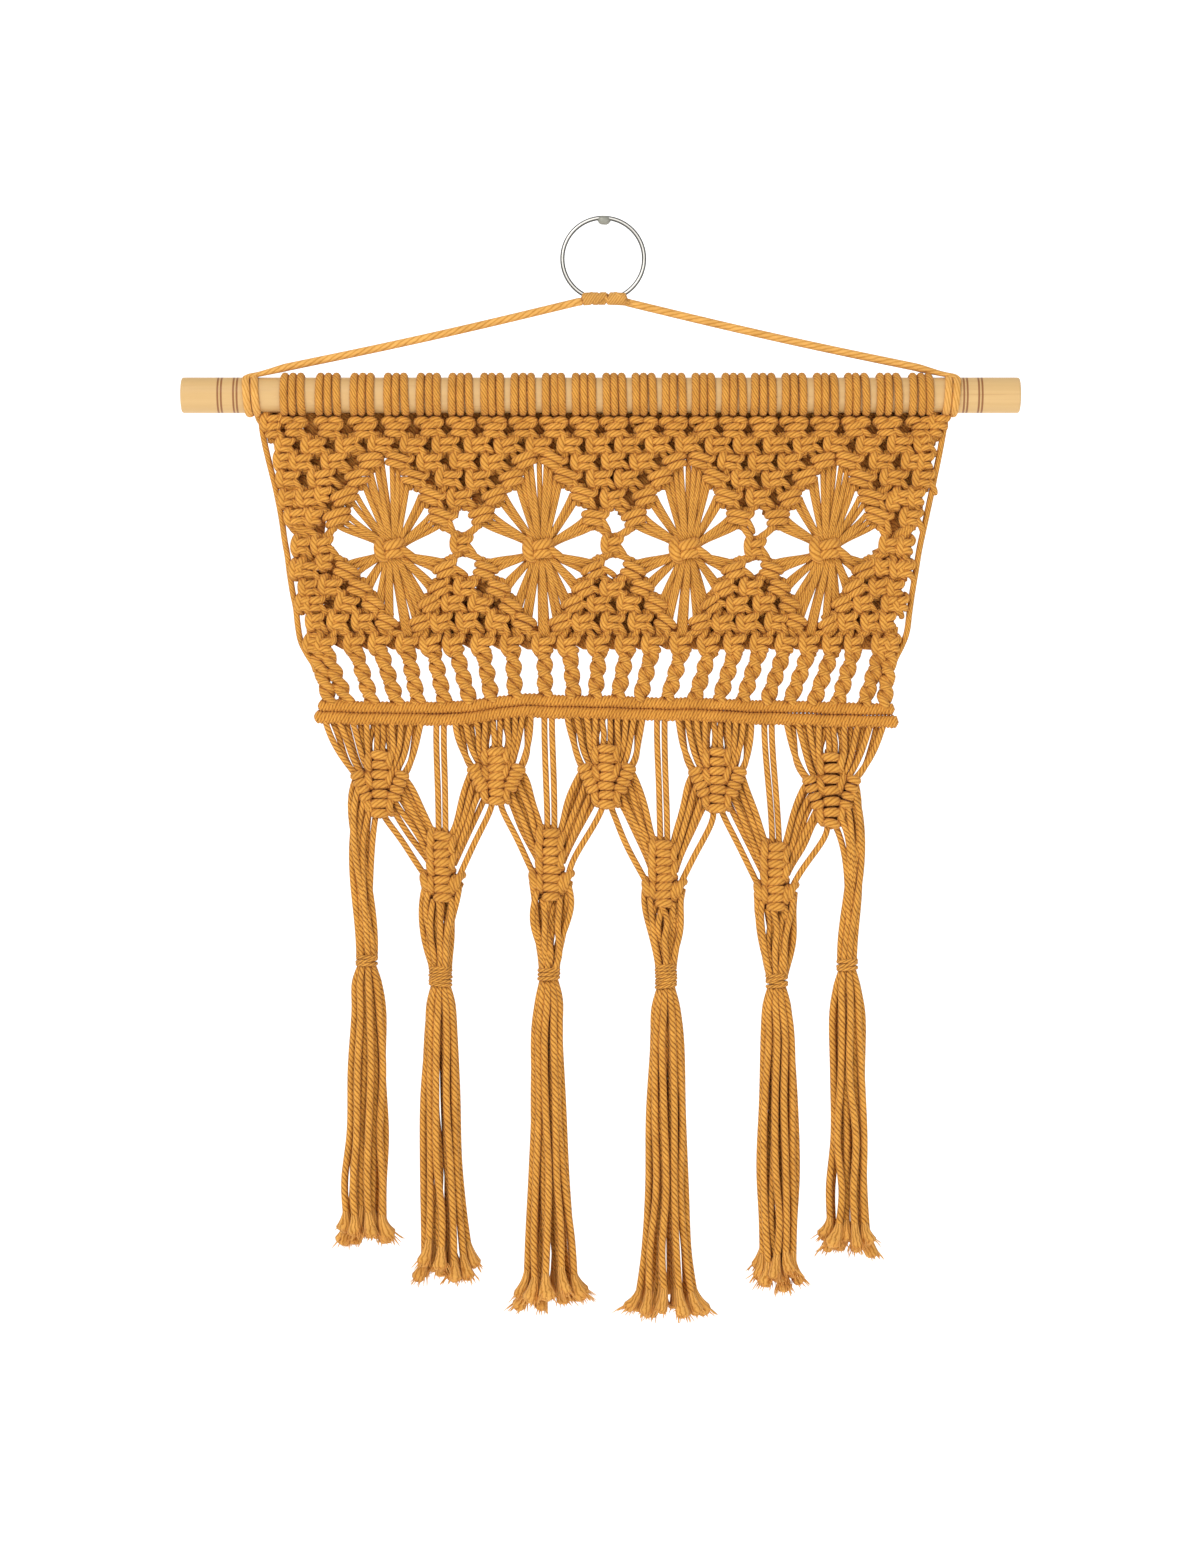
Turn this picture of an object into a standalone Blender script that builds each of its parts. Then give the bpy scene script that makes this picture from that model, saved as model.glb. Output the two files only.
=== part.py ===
"""Macrame wall hanging on a wooden rod, hung from a steel ring by a cord.

Metres, +Z up, the hanging faces -Y. The origin is the inside top of the ring, where a hook holds it.
The knotted cord is built as flat nets of strands that are fused at their knots and thickened there.
"""
import math
from collections import namedtuple

import bmesh
import bpy
from mathutils import Matrix, Vector

MM = 0.001
CLEARANCE = 0.3 * MM
WELD = 0.01 * MM

# ---------------------------------------------------------------- driving dimensions
RING_INNER_RADIUS = 18.0 * MM
RING_WIRE = 2.0 * MM
LUG_SIZE = (6.5 * MM, 3.4 * MM, 4.2 * MM)
LUG_PLACE = (0.3 * MM, 0.0, -0.2 * MM)
LUG_TILT = math.radians(6)
LUG_BEVEL = 0.8 * MM

ROD_DIAMETER = 16.5 * MM
ROD_LENGTH = 389.4 * MM
ROD_MIDDLE_X = -1.2 * MM
ROD_Z = -81.5 * MM
ROD_EDGE = 0.8 * MM

HANGER_DIAMETER = 3.4 * MM
HANGER_SQUEEZED = 0.6          # the cord's share of its thickness where it is hitched on the ring
HITCH_TURNS = 3
HITCH_WIDTH = 18.6 * MM
TURN_POINTS = 8
ROD_TURNS = 1.5
RUN_POINTS = 11
TAIL_STARTS = (0.4 * MM, -0.6 * MM)   # the tail's first point: outward along the rod, and Y
TAIL_ENDS = (1.5 * MM, 1.6 * MM)      # its last: inward along the rod, and down
LEFT_TURN_X = -161.6 * MM
RIGHT_TURN_X = 161.6 * MM

GROUPS = 23                    # groups of four strands across the rod
MIDDLE_GROUP = 11
FIRST_LOOPED, LAST_LOOPED = 1, 21
# terms of the cubics, in mm, that place the groups on the rod and the knots of the lowest row
ROD_CUBIC = (4.9, 152.8, -4.0, 9.0)
FOOT_CUBIC = (4.5, 142.9, -4.8, -11.7)
FIRST_PITCH = 9.5 * MM         # from the first looped group out to the one that hangs beside it
LAST_PITCH = 7.3 * MM
LOOP_CORDS = 3                 # cords that each group shows over the rod
LOOP_CORD_WIDTH = 3.2 * MM
LOOP_THICKNESS = 2.3 * MM
LOOP_GROOVE = 0.9 * MM
LOOP_STEPS = 8
NECK_INSET = 0.4 * MM
NECK_DEEP = 4.2 * MM
PLAIN_NECK_HALF = 3.6 * MM

NET_ROWS_MM = (-98.1, -105.1, -112.5, -120.4, -129.3, -138.6,
               -151.6, -162.8, -171.1, -178.6, -186.9, -197.6)
DIAMOND_GROUPS = (3.5, 8.5, 13.5, 18.5)
DIAMOND_ROW = 7                # the row at the diamonds' widest
DIAMOND_REACH = 2.5            # half width of a diamond, in groups
GATHER_Z = -153.0 * MM
GATHER_HALF = (7.6 * MM, 5.2 * MM)
GATHER_CORE = 0.55             # the core's share of the rim's size
GATHER_POINTS = 18

KNOT_SHARE = 0.37              # half a knot's width as a share of the knots' pitch
KNOT_HALF_HEIGHT = 3.3 * MM
KNOT_CORNER = 1.9 * MM
EDGE_BULGE = 5.0 * MM          # how far a slack edge strand hangs out past the knots it passes
EDGE_FOOT_BULGE = 5.0 * MM
EDGE_FOOT_DROP = 6.0 * MM

KNOT_DEEP = 8.0 * MM           # front to back, at a knot's middle
KNOT_WAIST = 4.6 * MM
STRAND_DEEP = 3.2 * MM
STRAND_HALF_WIDTH = 1.5 * MM
GATHER_DEEP = 10.0 * MM
COLUMN_RIDGE = 8.5 * MM
COLUMN_VALLEY = 6.0 * MM
CLOSING_RISE = 9.0 * MM        # above a tassel's head, where its strands have closed up
CLOSING_DEEP = 6.0 * MM
CLOSING_SHARES = (1.05, 0.9)   # half width over half the head's, at the rise and at the head

HANGINGS = 24                  # short twisted hangings between the net and the bars
HANGING_HALF_WIDTH = 2.9 * MM
HANGING_DEEP = 5.6 * MM
HANGING_FIRST_X = -126.0 * MM
HANGING_LAST_X = 131.0 * MM

BAR_RADIUS = 2.3 * MM          # how far a rib reaches up and down from the bar's middle
BAR_VALLEY = 1.9 * MM
BAR_SIDES = 6
BAR_RIBS = 20
BAR_END_SHARE = 0.55

BarPoint = namedtuple("BarPoint", "x_mm upper_mm lower_mm")
BAR_PATH = (
    BarPoint(-134.0, -226.0, -231.0),
    BarPoint(-127.1, -226.2, -231.2),
    BarPoint(-82.9, -227.2, -232.3),
    BarPoint(-66.6, -226.5, -231.9),
    BarPoint(-37.3, -223.2, -228.2),
    BarPoint(-4.8, -224.1, -229.2),
    BarPoint(49.2, -225.4, -230.4),
    BarPoint(74.3, -226.2, -231.7),
    BarPoint(128.2, -227.6, -233.2),
    BarPoint(136.6, -227.9, -233.6),
)
UPPER_BAR_ENDS = (-131.6 * MM, 134.6 * MM)
LOWER_BAR_ENDS = (-133.8 * MM, 136.4 * MM)

# knot columns under the bars: middle, top and foot, and the stretch of bar that feeds them
Column = namedtuple("Column", "x_mm top_mm foot_mm fed_from_mm fed_to_mm")
UPPER_COLUMNS = (
    Column(-103.8, -246.9, -278.1, -131.0, -83.0),
    Column(-49.7, -245.5, -272.0, -70.5, -32.0),
    Column(1.6, -244.1, -273.9, -18.5, 20.0),
    Column(53.1, -245.5, -275.7, 33.0, 70.5),
    Column(106.1, -247.4, -283.2, 83.5, 132.0),
)
LOWER_COLUMNS = (
    Column(-74.9, -284.6, -317.1, -77.6, -74.0),
    Column(-24.3, -283.2, -316.7, -27.4, -23.8),
    Column(28.2, -288.8, -319.5, 25.0, 28.6),
    Column(80.2, -289.7, -321.3, 74.8, 78.4),
)
# half widths of a column at equal steps from its top to its foot
UPPER_HALF_MM = (3.6, 4.8, 8.0, 11.0, 10.0, 8.2, 6.4, 5.0, 3.8)
LOWER_HALF_MM = (3.6, 5.6, 5.8, 6.2, 7.6, 9.4, 10.6, 8.0, 4.6)

Tassel = namedtuple("Tassel", "x_mm top_mm foot_mm head_mm strands mid_x_mm mid_half_mm "
                              "end_x_mm end_half_mm end_mm")
TASSELS = (
    Tassel(-109.9, -341.8, -346.7, 10.2, 7, -109.2, 10.0, -110.5, 12.0, -474.0),
    Tassel(-75.6, -346.9, -356.1, 10.9, 10, -75.6, 9.4, -73.6, 13.5, -490.0),
    Tassel(-25.3, -347.8, -353.3, 10.4, 10, -25.9, 8.9, -24.4, 14.8, -502.5),
    Tassel(29.2, -346.0, -356.9, 10.2, 10, 29.6, 9.6, 29.6, 16.0, -508.5),
    Tassel(80.7, -350.4, -356.7, 10.3, 10, 81.2, 9.3, 82.4, 12.6, -492.5),
    Tassel(113.5, -343.6, -348.8, 9.9, 7, 113.6, 9.0, 113.4, 15.5, -478.5),
)
TASSEL_STEPS = 8
TASSEL_RIDGE = 0.5 * MM
TASSEL_STRAND = 3.0 * MM
TASSEL_TURN = 3.0 * MM
TASSEL_MIDDLE_DROP = 55.0 * MM
TASSEL_FLATNESS = 0.72         # front to back over side to side
ROOT_RISE = 1.5 * MM
ROOT_REACH = 0.66              # where a strand leaves the head, as a share of the head's radius
ROOT_SHARE = 0.45              # a strand's share of its thickness there
END_UNEVENNESS = 4.0 * MM
END_PHASE = 2.4

COLLECTION_NAME = "macrame_wall_hanging"
CUTTER_COLLECTION_NAME = "cutters"


# ---------------------------------------------------------------- scene and materials
def clear_scene():
    """Removes every object of the scene."""
    for item in list(bpy.data.objects):
        bpy.data.objects.remove(item, do_unlink=True)


def new_collection(name):
    """A collection linked to the scene."""
    group = bpy.data.collections.new(name)
    bpy.context.scene.collection.children.link(group)
    return group


def plain_material(name, colour, roughness, metallic=0.0):
    """A Principled material with one colour."""
    made = bpy.data.materials.new(name)
    made.use_nodes = True
    made.diffuse_color = (*colour, 1.0)
    shader = made.node_tree.nodes["Principled BSDF"]
    shader.inputs["Base Color"].default_value = (*colour, 1.0)
    shader.inputs["Roughness"].default_value = roughness
    shader.inputs["Metallic"].default_value = metallic
    return made


def mesh_object(name, mesh, group, material):
    """An object for a mesh, in a collection, with a material."""
    item = bpy.data.objects.new(name, mesh)
    group.objects.link(item)
    mesh.materials.clear()
    mesh.materials.append(material)
    return item


def evaluated_mesh(item):
    """The object's finished mesh in world space, its loose caps welded; the object is removed."""
    bpy.context.view_layer.update()
    graph = bpy.context.evaluated_depsgraph_get()
    mesh = bpy.data.meshes.new_from_object(item.evaluated_get(graph))
    mesh.transform(item.matrix_world)
    shape = bmesh.new()
    shape.from_mesh(mesh)
    bmesh.ops.remove_doubles(shape, verts=shape.verts, dist=WELD)
    bmesh.ops.recalc_face_normals(shape, faces=shape.faces)
    shape.to_mesh(mesh)
    shape.free()
    bpy.data.objects.remove(item, do_unlink=True)
    return mesh


def joined_by_union(name, base, others, group, cutters, material):
    """One solid from two meshes that overlap, by an exact Boolean union."""
    result = mesh_object(name, base, group, material)
    tool = mesh_object(name + "_tool", others, cutters, material)
    tool.hide_render = True
    tool.display_type = "WIRE"
    union = result.modifiers.new("fuse", "BOOLEAN")
    union.operation = "UNION"
    union.solver = "EXACT"
    union.use_self = True
    union.object = tool
    return result


# ---------------------------------------------------------------- turned and bent pieces
def turned_mesh(name, profile, steps, closed_profile, holder):
    """A profile of (radius, height) points turned round Z with a Screw modifier."""
    mesh = bpy.data.meshes.new(name)
    count = len(profile)
    edges = [(k, k + 1) for k in range(count - 1)]
    if closed_profile:
        edges.append((count - 1, 0))
    mesh.from_pydata([(radius, 0.0, height) for radius, height in profile], edges, [])
    item = bpy.data.objects.new(name, mesh)
    holder.objects.link(item)
    screw = item.modifiers.new("turn", "SCREW")
    screw.steps = steps
    screw.render_steps = steps
    screw.use_merge_vertices = True
    screw.merge_threshold = WELD
    return evaluated_mesh(item)


def tube_mesh(name, paths, diameter, sides_resolution, holder):
    """Tubes with closed ends along paths of (point, thickness share)."""
    curve = bpy.data.curves.new(name, "CURVE")
    curve.dimensions = "3D"
    curve.bevel_depth = diameter / 2
    curve.bevel_resolution = sides_resolution
    curve.use_fill_caps = True
    for path in paths:
        spline = curve.splines.new("POLY")
        spline.points.add(len(path) - 1)
        for target, (point, share) in zip(spline.points, path):
            target.co = (*point, 1.0)
            target.radius = share
    item = bpy.data.objects.new(name, curve)
    holder.objects.link(item)
    return evaluated_mesh(item)


# ---------------------------------------------------------------- rod and ring
def make_rod(group, material):
    """A dowel with slightly rounded ends, turned round its own axis."""
    radius = ROD_DIAMETER / 2
    half = ROD_LENGTH / 2
    profile = [(0.0, half), (radius - ROD_EDGE, half), (radius, half - ROD_EDGE),
               (radius, ROD_EDGE - half), (radius - ROD_EDGE, -half), (0.0, -half)]
    mesh = turned_mesh("rod", profile, 28, False, group)
    mesh.transform(Matrix.Rotation(math.radians(90), 4, "Y"))
    rod = mesh_object("rod", mesh, group, material)
    rod.location = (ROD_MIDDLE_X, 0.0, ROD_Z)
    return rod


def make_ring(group, material):
    """The ring of round wire, standing in the plane of the hanging."""
    centre_radius = RING_INNER_RADIUS + RING_WIRE / 2
    bpy.ops.mesh.primitive_torus_add(major_segments=32, minor_segments=6,
                                     major_radius=centre_radius, minor_radius=RING_WIRE / 2,
                                     location=(0.0, 0.0, -RING_INNER_RADIUS),
                                     rotation=(math.radians(90), 0.0, 0.0))
    made = bpy.context.object
    mesh = evaluated_mesh(made)
    return mesh_object("ring", mesh, group, material)


def add_lug(ring, group, cutters, material):
    """The small snap lug that closes the ring at its top, fused round the wire."""
    bpy.ops.mesh.primitive_cube_add(size=1.0)
    block = bpy.context.object
    block.scale = LUG_SIZE
    block.rotation_euler = (0.0, LUG_TILT, 0.0)
    block.location = LUG_PLACE
    mesh = evaluated_mesh(block)
    item = mesh_object("ring_lug_tool", mesh, cutters, material)
    bevel = item.modifiers.new("round", "BEVEL")
    bevel.width = LUG_BEVEL
    bevel.segments = 1
    rounded = evaluated_mesh(item)
    tool = mesh_object("ring_lug", rounded, cutters, material)
    tool.hide_render = True
    tool.display_type = "WIRE"
    union = ring.modifiers.new("lug", "BOOLEAN")
    union.operation = "UNION"
    union.solver = "EXACT"
    union.object = tool


# ---------------------------------------------------------------- hanger cord
def rod_turn(first_x, step_x, radius):
    """One and a half turns round the rod, from its top down the front, to end under the rod."""
    points = []
    count = round(TURN_POINTS * ROD_TURNS)
    for k in range(count + 1):
        angle = 2 * math.pi * k / TURN_POINTS
        x = first_x + step_x * k / count
        points.append(Vector((x, -radius * math.sin(angle), ROD_Z + radius * math.cos(angle))))
    return points


def ring_hitch(radius):
    """Turns of the squeezed cord round the ring's wire at its foot, from left to right."""
    centre = RING_INNER_RADIUS + RING_WIRE / 2
    points = []
    count = HITCH_TURNS * TURN_POINTS
    for k in range(count + 1):
        share = k / count
        along = (share - 0.5) * HITCH_WIDTH / centre
        angle = 2 * math.pi * HITCH_TURNS * share + math.pi
        reach = centre - radius * math.cos(angle)
        points.append(Vector((reach * math.sin(along), -radius * math.sin(angle),
                              -RING_INNER_RADIUS - reach * math.cos(along))))
    return points


def make_hanger(group, material):
    """The hanger: tail and turns at the rod's left, run, hitch on the ring, run, turns and tail."""
    turn_radius = ROD_DIAMETER / 2 + CLEARANCE / math.cos(math.pi / TURN_POINTS) + HANGER_DIAMETER / 2
    turn_radius /= math.cos(math.pi / TURN_POINTS)
    squeezed = HANGER_DIAMETER * HANGER_SQUEEZED
    hitch_radius = (RING_WIRE / 2 + squeezed / 2 + CLEARANCE) / math.cos(math.pi / TURN_POINTS)
    step = HANGER_DIAMETER + CLEARANCE
    left = rod_turn(LEFT_TURN_X, -step, turn_radius)
    right = rod_turn(RIGHT_TURN_X, step, turn_radius)
    hitch = ring_hitch(hitch_radius)
    foot_radius = turn_radius + HANGER_DIAMETER + CLEARANCE

    def tail(first_x, outward):
        out, front = TAIL_STARTS
        inward, down = TAIL_ENDS
        return [Vector((first_x + outward * out, front, ROD_Z - foot_radius)),
                Vector((first_x - outward * inward, 0.0, ROD_Z - foot_radius - down))]

    def run(start, end):
        return [start.lerp(end, (k + 1) / (RUN_POINTS + 1)) for k in range(RUN_POINTS)]

    leave_left = left[0]
    leave_right = right[0]
    route = [(point, 1.0) for point in reversed(tail(LEFT_TURN_X, -1))]
    route += [(point, 1.0) for point in reversed(left)]
    route += [(point, 1.0) for point in run(leave_left, hitch[0])]
    route += [(point, HANGER_SQUEEZED) for point in hitch]
    route += [(point, 1.0) for point in run(hitch[-1], leave_right)]
    route += [(point, 1.0) for point in right]
    route += [(point, 1.0) for point in tail(RIGHT_TURN_X, 1)]
    mesh = tube_mesh("hanger_cord", [route], HANGER_DIAMETER, 2, group)
    return mesh_object("hanger_cord", mesh, group, material)


# ---------------------------------------------------------------- flat nets with thickness
class Net:
    """A flat net in the XZ plane: points with a depth, faces between them, then Solidify."""

    def __init__(self):
        self.places = []
        self.depths = []
        self.faces = []
        self.known = {}

    def point(self, key, x, z, deep):
        """The index of a named point, made the first time it is asked for."""
        if key not in self.known:
            self.known[key] = len(self.places)
            self.places.append((x, 0.0, z))
            self.depths.append(deep)
        return self.known[key]

    def face(self, *corners):
        """A face whose corners run anticlockwise as seen from the front."""
        self.faces.append(corners)

    def strip(self, upper, lower, bends=(), deep=STRAND_DEEP):
        """A strand between two edges, each (left, right), through (x, z, half width) bends."""
        left, right = upper
        for index, (x, z, half) in enumerate(bends):
            key = ("bend", upper, lower, index)
            next_left = self.point((key, "left"), x - half, z, deep)
            next_right = self.point((key, "right"), x + half, z, deep)
            self.face(left, next_left, next_right, right)
            left, right = next_left, next_right
        self.face(left, lower[0], lower[1], right)

    def solid(self, name, group, material):
        """The net as an object, thickened by each point's depth."""
        mesh = bpy.data.meshes.new(name)
        mesh.from_pydata(self.places, [], self.faces)
        item = mesh_object(name, mesh, group, material)
        deepest = max(self.depths)
        weights = item.vertex_groups.new(name="depth")
        for index, deep in enumerate(self.depths):
            weights.add([index], deep / deepest, "REPLACE")
        thick = item.modifiers.new("depth", "SOLIDIFY")
        thick.thickness = deepest
        thick.offset = 0.0
        thick.vertex_group = "depth"
        return item


def cubic_x(terms, position):
    """X at a position counted in groups, by a cubic whose terms are in mm."""
    share = (position - MIDDLE_GROUP) / MIDDLE_GROUP
    return sum(term * share ** power for power, term in enumerate(terms)) * MM


def group_x(position):
    """X of a group on the rod: a cubic across the looped groups, and a pitch past each end."""
    inner = min(max(position, FIRST_LOOPED), LAST_LOOPED)
    before = FIRST_PITCH * min(position - FIRST_LOOPED, 0)
    after = LAST_PITCH * max(position - LAST_LOOPED, 0)
    return cubic_x(ROD_CUBIC, inner) + before + after


def foot_x(position):
    """X of a knot in the lowest row, where the panel has drawn in."""
    return cubic_x(FOOT_CUBIC, position)


def row_z(row):
    """Height of a row of knots, rows counted from 1."""
    return NET_ROWS_MM[row - 1] * MM


def knot_x(row, position):
    """X of a knot, between the groups on the rod and the lowest row."""
    share = (row_z(row) - row_z(1)) / (row_z(len(NET_ROWS_MM)) - row_z(1))
    return group_x(position) * (1 - share) + foot_x(position) * share


def diamond_reach(row):
    """Half a diamond's width at a row, in groups."""
    return DIAMOND_REACH - abs(row - DIAMOND_ROW) / 2


def has_knot(row, position):
    """Whether a row has a knot at a position: none beyond the edges or inside a diamond."""
    if not 1 <= row <= len(NET_ROWS_MM) or not 0 <= position <= GROUPS - 1:
        return False
    return all(abs(position - middle) >= diamond_reach(row) for middle in DIAMOND_GROUPS)


def row_positions(row):
    """Positions of the knots in a row: whole in odd rows, halves in even ones."""
    shift = 0.0 if row % 2 else 0.5
    count = GROUPS if row % 2 else GROUPS - 1
    return [shift + k for k in range(count) if has_knot(row, shift + k)]


def add_knot(net, row, position):
    """A knot as a raised six-sided face; its corners are named for the strands that meet it."""
    x, z = knot_x(row, position), row_z(row)
    half = KNOT_SHARE * (knot_x(row, position + 0.5) - knot_x(row, position - 0.5))
    corners = {
        "top": (x, z + KNOT_HALF_HEIGHT, KNOT_WAIST),
        "upper_left": (x - half, z + KNOT_CORNER, STRAND_DEEP),
        "lower_left": (x - half, z - KNOT_CORNER, STRAND_DEEP),
        "foot": (x, z - KNOT_HALF_HEIGHT, KNOT_WAIST),
        "lower_right": (x + half, z - KNOT_CORNER, STRAND_DEEP),
        "upper_right": (x + half, z + KNOT_CORNER, STRAND_DEEP),
    }
    marks = [net.point((row, position, name), *place) for name, place in corners.items()]
    middle = net.point((row, position, "middle"), x, z, KNOT_DEEP)
    for k, mark in enumerate(marks):
        net.face(mark, marks[(k + 1) % 6], middle)


def corner(net, row, position, name):
    """The index of a knot's named corner."""
    return net.known[(row, position, name)]


def add_legs(net, row, position):
    """The strands from a knot to the two knots below it, and the slack strands at both edges."""
    foot = corner(net, row, position, "foot")
    left = corner(net, row, position, "lower_left")
    right = corner(net, row, position, "lower_right")
    if has_knot(row + 1, position - 0.5):
        below = (row + 1, position - 0.5)
        net.face(left, corner(net, *below, "top"), corner(net, *below, "upper_right"), foot)
    if has_knot(row + 1, position + 0.5):
        below = (row + 1, position + 0.5)
        net.face(foot, corner(net, *below, "upper_left"), corner(net, *below, "top"), right)
    if row % 2 and row + 2 <= len(NET_ROWS_MM):
        middle_z = (row_z(row) + row_z(row + 2)) / 2
        half = STRAND_HALF_WIDTH
        if position == 0:
            x = knot_x(row + 1, 0) - EDGE_BULGE
            lower = (corner(net, row + 2, 0, "upper_left"), corner(net, row + 2, 0, "top"))
            net.strip((left, foot), lower, ((x, middle_z, half),))
        if position == GROUPS - 1:
            x = knot_x(row + 1, position) + EDGE_BULGE
            lower = (corner(net, row + 2, position, "top"),
                     corner(net, row + 2, position, "upper_right"))
            net.strip((foot, right), lower, ((x, middle_z, half),))


def add_neck(net, position):
    """The strands from a first-row knot up into its loops on the rod, or just under the bare rod."""
    looped = FIRST_LOOPED <= position <= LAST_LOOPED
    inner = ROD_DIAMETER / 2 + CLEARANCE
    z = ROD_Z - inner - (LOOP_THICKNESS / 2 if looped else CLEARANCE)
    half = LOOP_CORD_WIDTH * LOOP_CORDS / 2 - NECK_INSET if looped else PLAIN_NECK_HALF
    x = group_x(position)
    marks = [net.point(("neck", position, side), x + side * half, z, NECK_DEEP)
             for side in (-1, 0, 1)]
    below = [corner(net, 1, position, name) for name in ("upper_left", "top", "upper_right")]
    net.face(marks[0], below[0], below[1], marks[1])
    net.face(marks[1], below[1], below[2], marks[2])


def gather_edge(net, middle_x, index):
    """A point on the gathering knot's rim, counted anticlockwise from its top."""
    angle = 2 * math.pi * index / GATHER_POINTS
    x = middle_x - GATHER_HALF[0] * math.sin(angle)
    z = GATHER_Z + GATHER_HALF[1] * math.cos(angle)
    return net.point(("gather", middle_x, index % GATHER_POINTS), x, z, KNOT_WAIST)


def add_star(net, middle):
    """A diamond's strands, four from each side above and below, gathered by one raised knot."""
    middle_x = (knot_x(DIAMOND_ROW, middle - DIAMOND_REACH)
                + knot_x(DIAMOND_ROW, middle + DIAMOND_REACH)) / 2
    count, half = GATHER_POINTS, GATHER_POINTS // 2
    rim = [gather_edge(net, middle_x, k) for k in range(count)]
    core = []
    for k in range(0, count, 2):
        x, _, z = net.places[rim[k]]
        core.append(net.point(("core", middle_x, k), middle_x + (x - middle_x) * GATHER_CORE,
                              GATHER_Z + (z - GATHER_Z) * GATHER_CORE, GATHER_DEEP))
    for k in range(half):
        start, between, end = 2 * k, 2 * k + 1, (2 * k + 2) % count
        net.face(rim[start], rim[between], core[k])
        net.face(rim[between], rim[end], core[(k + 1) % half], core[k])
    net.face(*core)
    for k in range(4):
        upper_row = DIAMOND_ROW - 4 + k
        reach = diamond_reach(upper_row)
        left_knot, right_knot = (upper_row, middle - reach), (upper_row, middle + reach)
        net.face(corner(net, *left_knot, "foot"), rim[k + 1], rim[k],
                 corner(net, *left_knot, "lower_right"))
        net.face(corner(net, *right_knot, "lower_left"), rim[-k % count], rim[-k - 1],
                 corner(net, *right_knot, "foot"))
        lower_row = DIAMOND_ROW + 4 - k
        left_knot, right_knot = (lower_row, middle - reach), (lower_row, middle + reach)
        net.face(rim[half - k], rim[half - k - 1], corner(net, *left_knot, "top"),
                 corner(net, *left_knot, "upper_right"))
        net.face(rim[half + k + 1], rim[half + k], corner(net, *right_knot, "upper_left"),
                 corner(net, *right_knot, "top"))


def bar_z(x, which):
    """Height of a bar's middle at x, between the points of its path."""
    for before, after in zip(BAR_PATH, BAR_PATH[1:]):
        if x <= after.x_mm * MM or after is BAR_PATH[-1]:
            share = (x / MM - before.x_mm) / (after.x_mm - before.x_mm)
            start, end = getattr(before, which), getattr(after, which)
            return (start + (end - start) * share) * MM


def hanging_foot_x(index):
    """X at which a twisted hanging meets the upper bar."""
    return HANGING_FIRST_X + (HANGING_LAST_X - HANGING_FIRST_X) * index / (HANGINGS - 1)


def add_hangings(net):
    """Twenty-two hangings from the lowest knots and one from each edge strand, down to the bar."""
    last_row = len(NET_ROWS_MM)
    clear = BAR_RADIUS + CLEARANCE
    for index in range(HANGINGS):
        x = hanging_foot_x(index)
        half = HANGING_HALF_WIDTH
        places = [(x + side * half, bar_z(x + side * half, "upper_mm") + clear) for side in (-1, 0, 1)]
        depths = (STRAND_DEEP, HANGING_DEEP, STRAND_DEEP)
        feet = [net.point(("hanging", index, k), *places[k], depths[k]) for k in range(3)]
        if 0 < index < HANGINGS - 1:
            knot = (last_row, index - 0.5)
            heads = [corner(net, *knot, name) for name in ("lower_left", "foot", "lower_right")]
            net.face(heads[0], feet[0], feet[1], heads[1])
            net.face(heads[1], feet[1], feet[2], heads[2])
        elif index == 0:
            knot = (last_row - 1, 0)
            start = (corner(net, *knot, "lower_left"), corner(net, *knot, "foot"))
            bend = (knot_x(*knot) - EDGE_FOOT_BULGE, row_z(last_row) - EDGE_FOOT_DROP,
                    STRAND_HALF_WIDTH)
            net.strip(start, (feet[0], feet[1]), (bend,), STRAND_DEEP)
        else:
            knot = (last_row - 1, GROUPS - 1)
            start = (corner(net, *knot, "foot"), corner(net, *knot, "lower_right"))
            bend = (knot_x(*knot) + EDGE_FOOT_BULGE, row_z(last_row) - EDGE_FOOT_DROP,
                    STRAND_HALF_WIDTH)
            net.strip(start, (feet[1], feet[2]), (bend,), STRAND_DEEP)


def loops_mesh(holder):
    """The loops round the rod: one sleeve with a ridge for each cord, repeated for each group."""
    inner = (ROD_DIAMETER / 2 + CLEARANCE) / math.cos(math.pi / LOOP_STEPS)
    peak = inner + LOOP_THICKNESS
    valley = peak - LOOP_GROOVE
    half = LOOP_CORDS * LOOP_CORD_WIDTH / 2
    profile = [(inner, half)]
    for cord in range(LOOP_CORDS):
        middle = half - (cord + 0.5) * LOOP_CORD_WIDTH
        profile.append((peak, middle))
        if cord < LOOP_CORDS - 1:
            profile.append((valley, middle - LOOP_CORD_WIDTH / 2))
    profile.append((inner, -half))
    sleeve = turned_mesh("loops", profile, LOOP_STEPS, True, holder)
    sleeve.transform(Matrix.Rotation(math.radians(90), 4, "Y"))
    joined = bmesh.new()
    for position in range(FIRST_LOOPED, LAST_LOOPED + 1):
        copy = sleeve.copy()
        copy.transform(Matrix.Translation((group_x(position), 0.0, ROD_Z)))
        joined.from_mesh(copy)
        bpy.data.meshes.remove(copy)
    result = bpy.data.meshes.new("loops")
    joined.to_mesh(result)
    joined.free()
    return result


def make_panel(group, cutters, material):
    """Loops, rows of knots, stars and hangings: everything that the rod carries above the bars."""
    net = Net()
    rows = range(1, len(NET_ROWS_MM) + 1)
    for row in rows:
        for position in row_positions(row):
            add_knot(net, row, position)
    for row in rows:
        for position in row_positions(row):
            add_legs(net, row, position)
    for position in row_positions(1):
        add_neck(net, position)
    for middle in DIAMOND_GROUPS:
        add_star(net, middle)
    add_hangings(net)
    flat = net.solid("panel_net", group, material)
    return joined_by_union("panel", evaluated_mesh(flat), loops_mesh(group), group, cutters, material)


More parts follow.
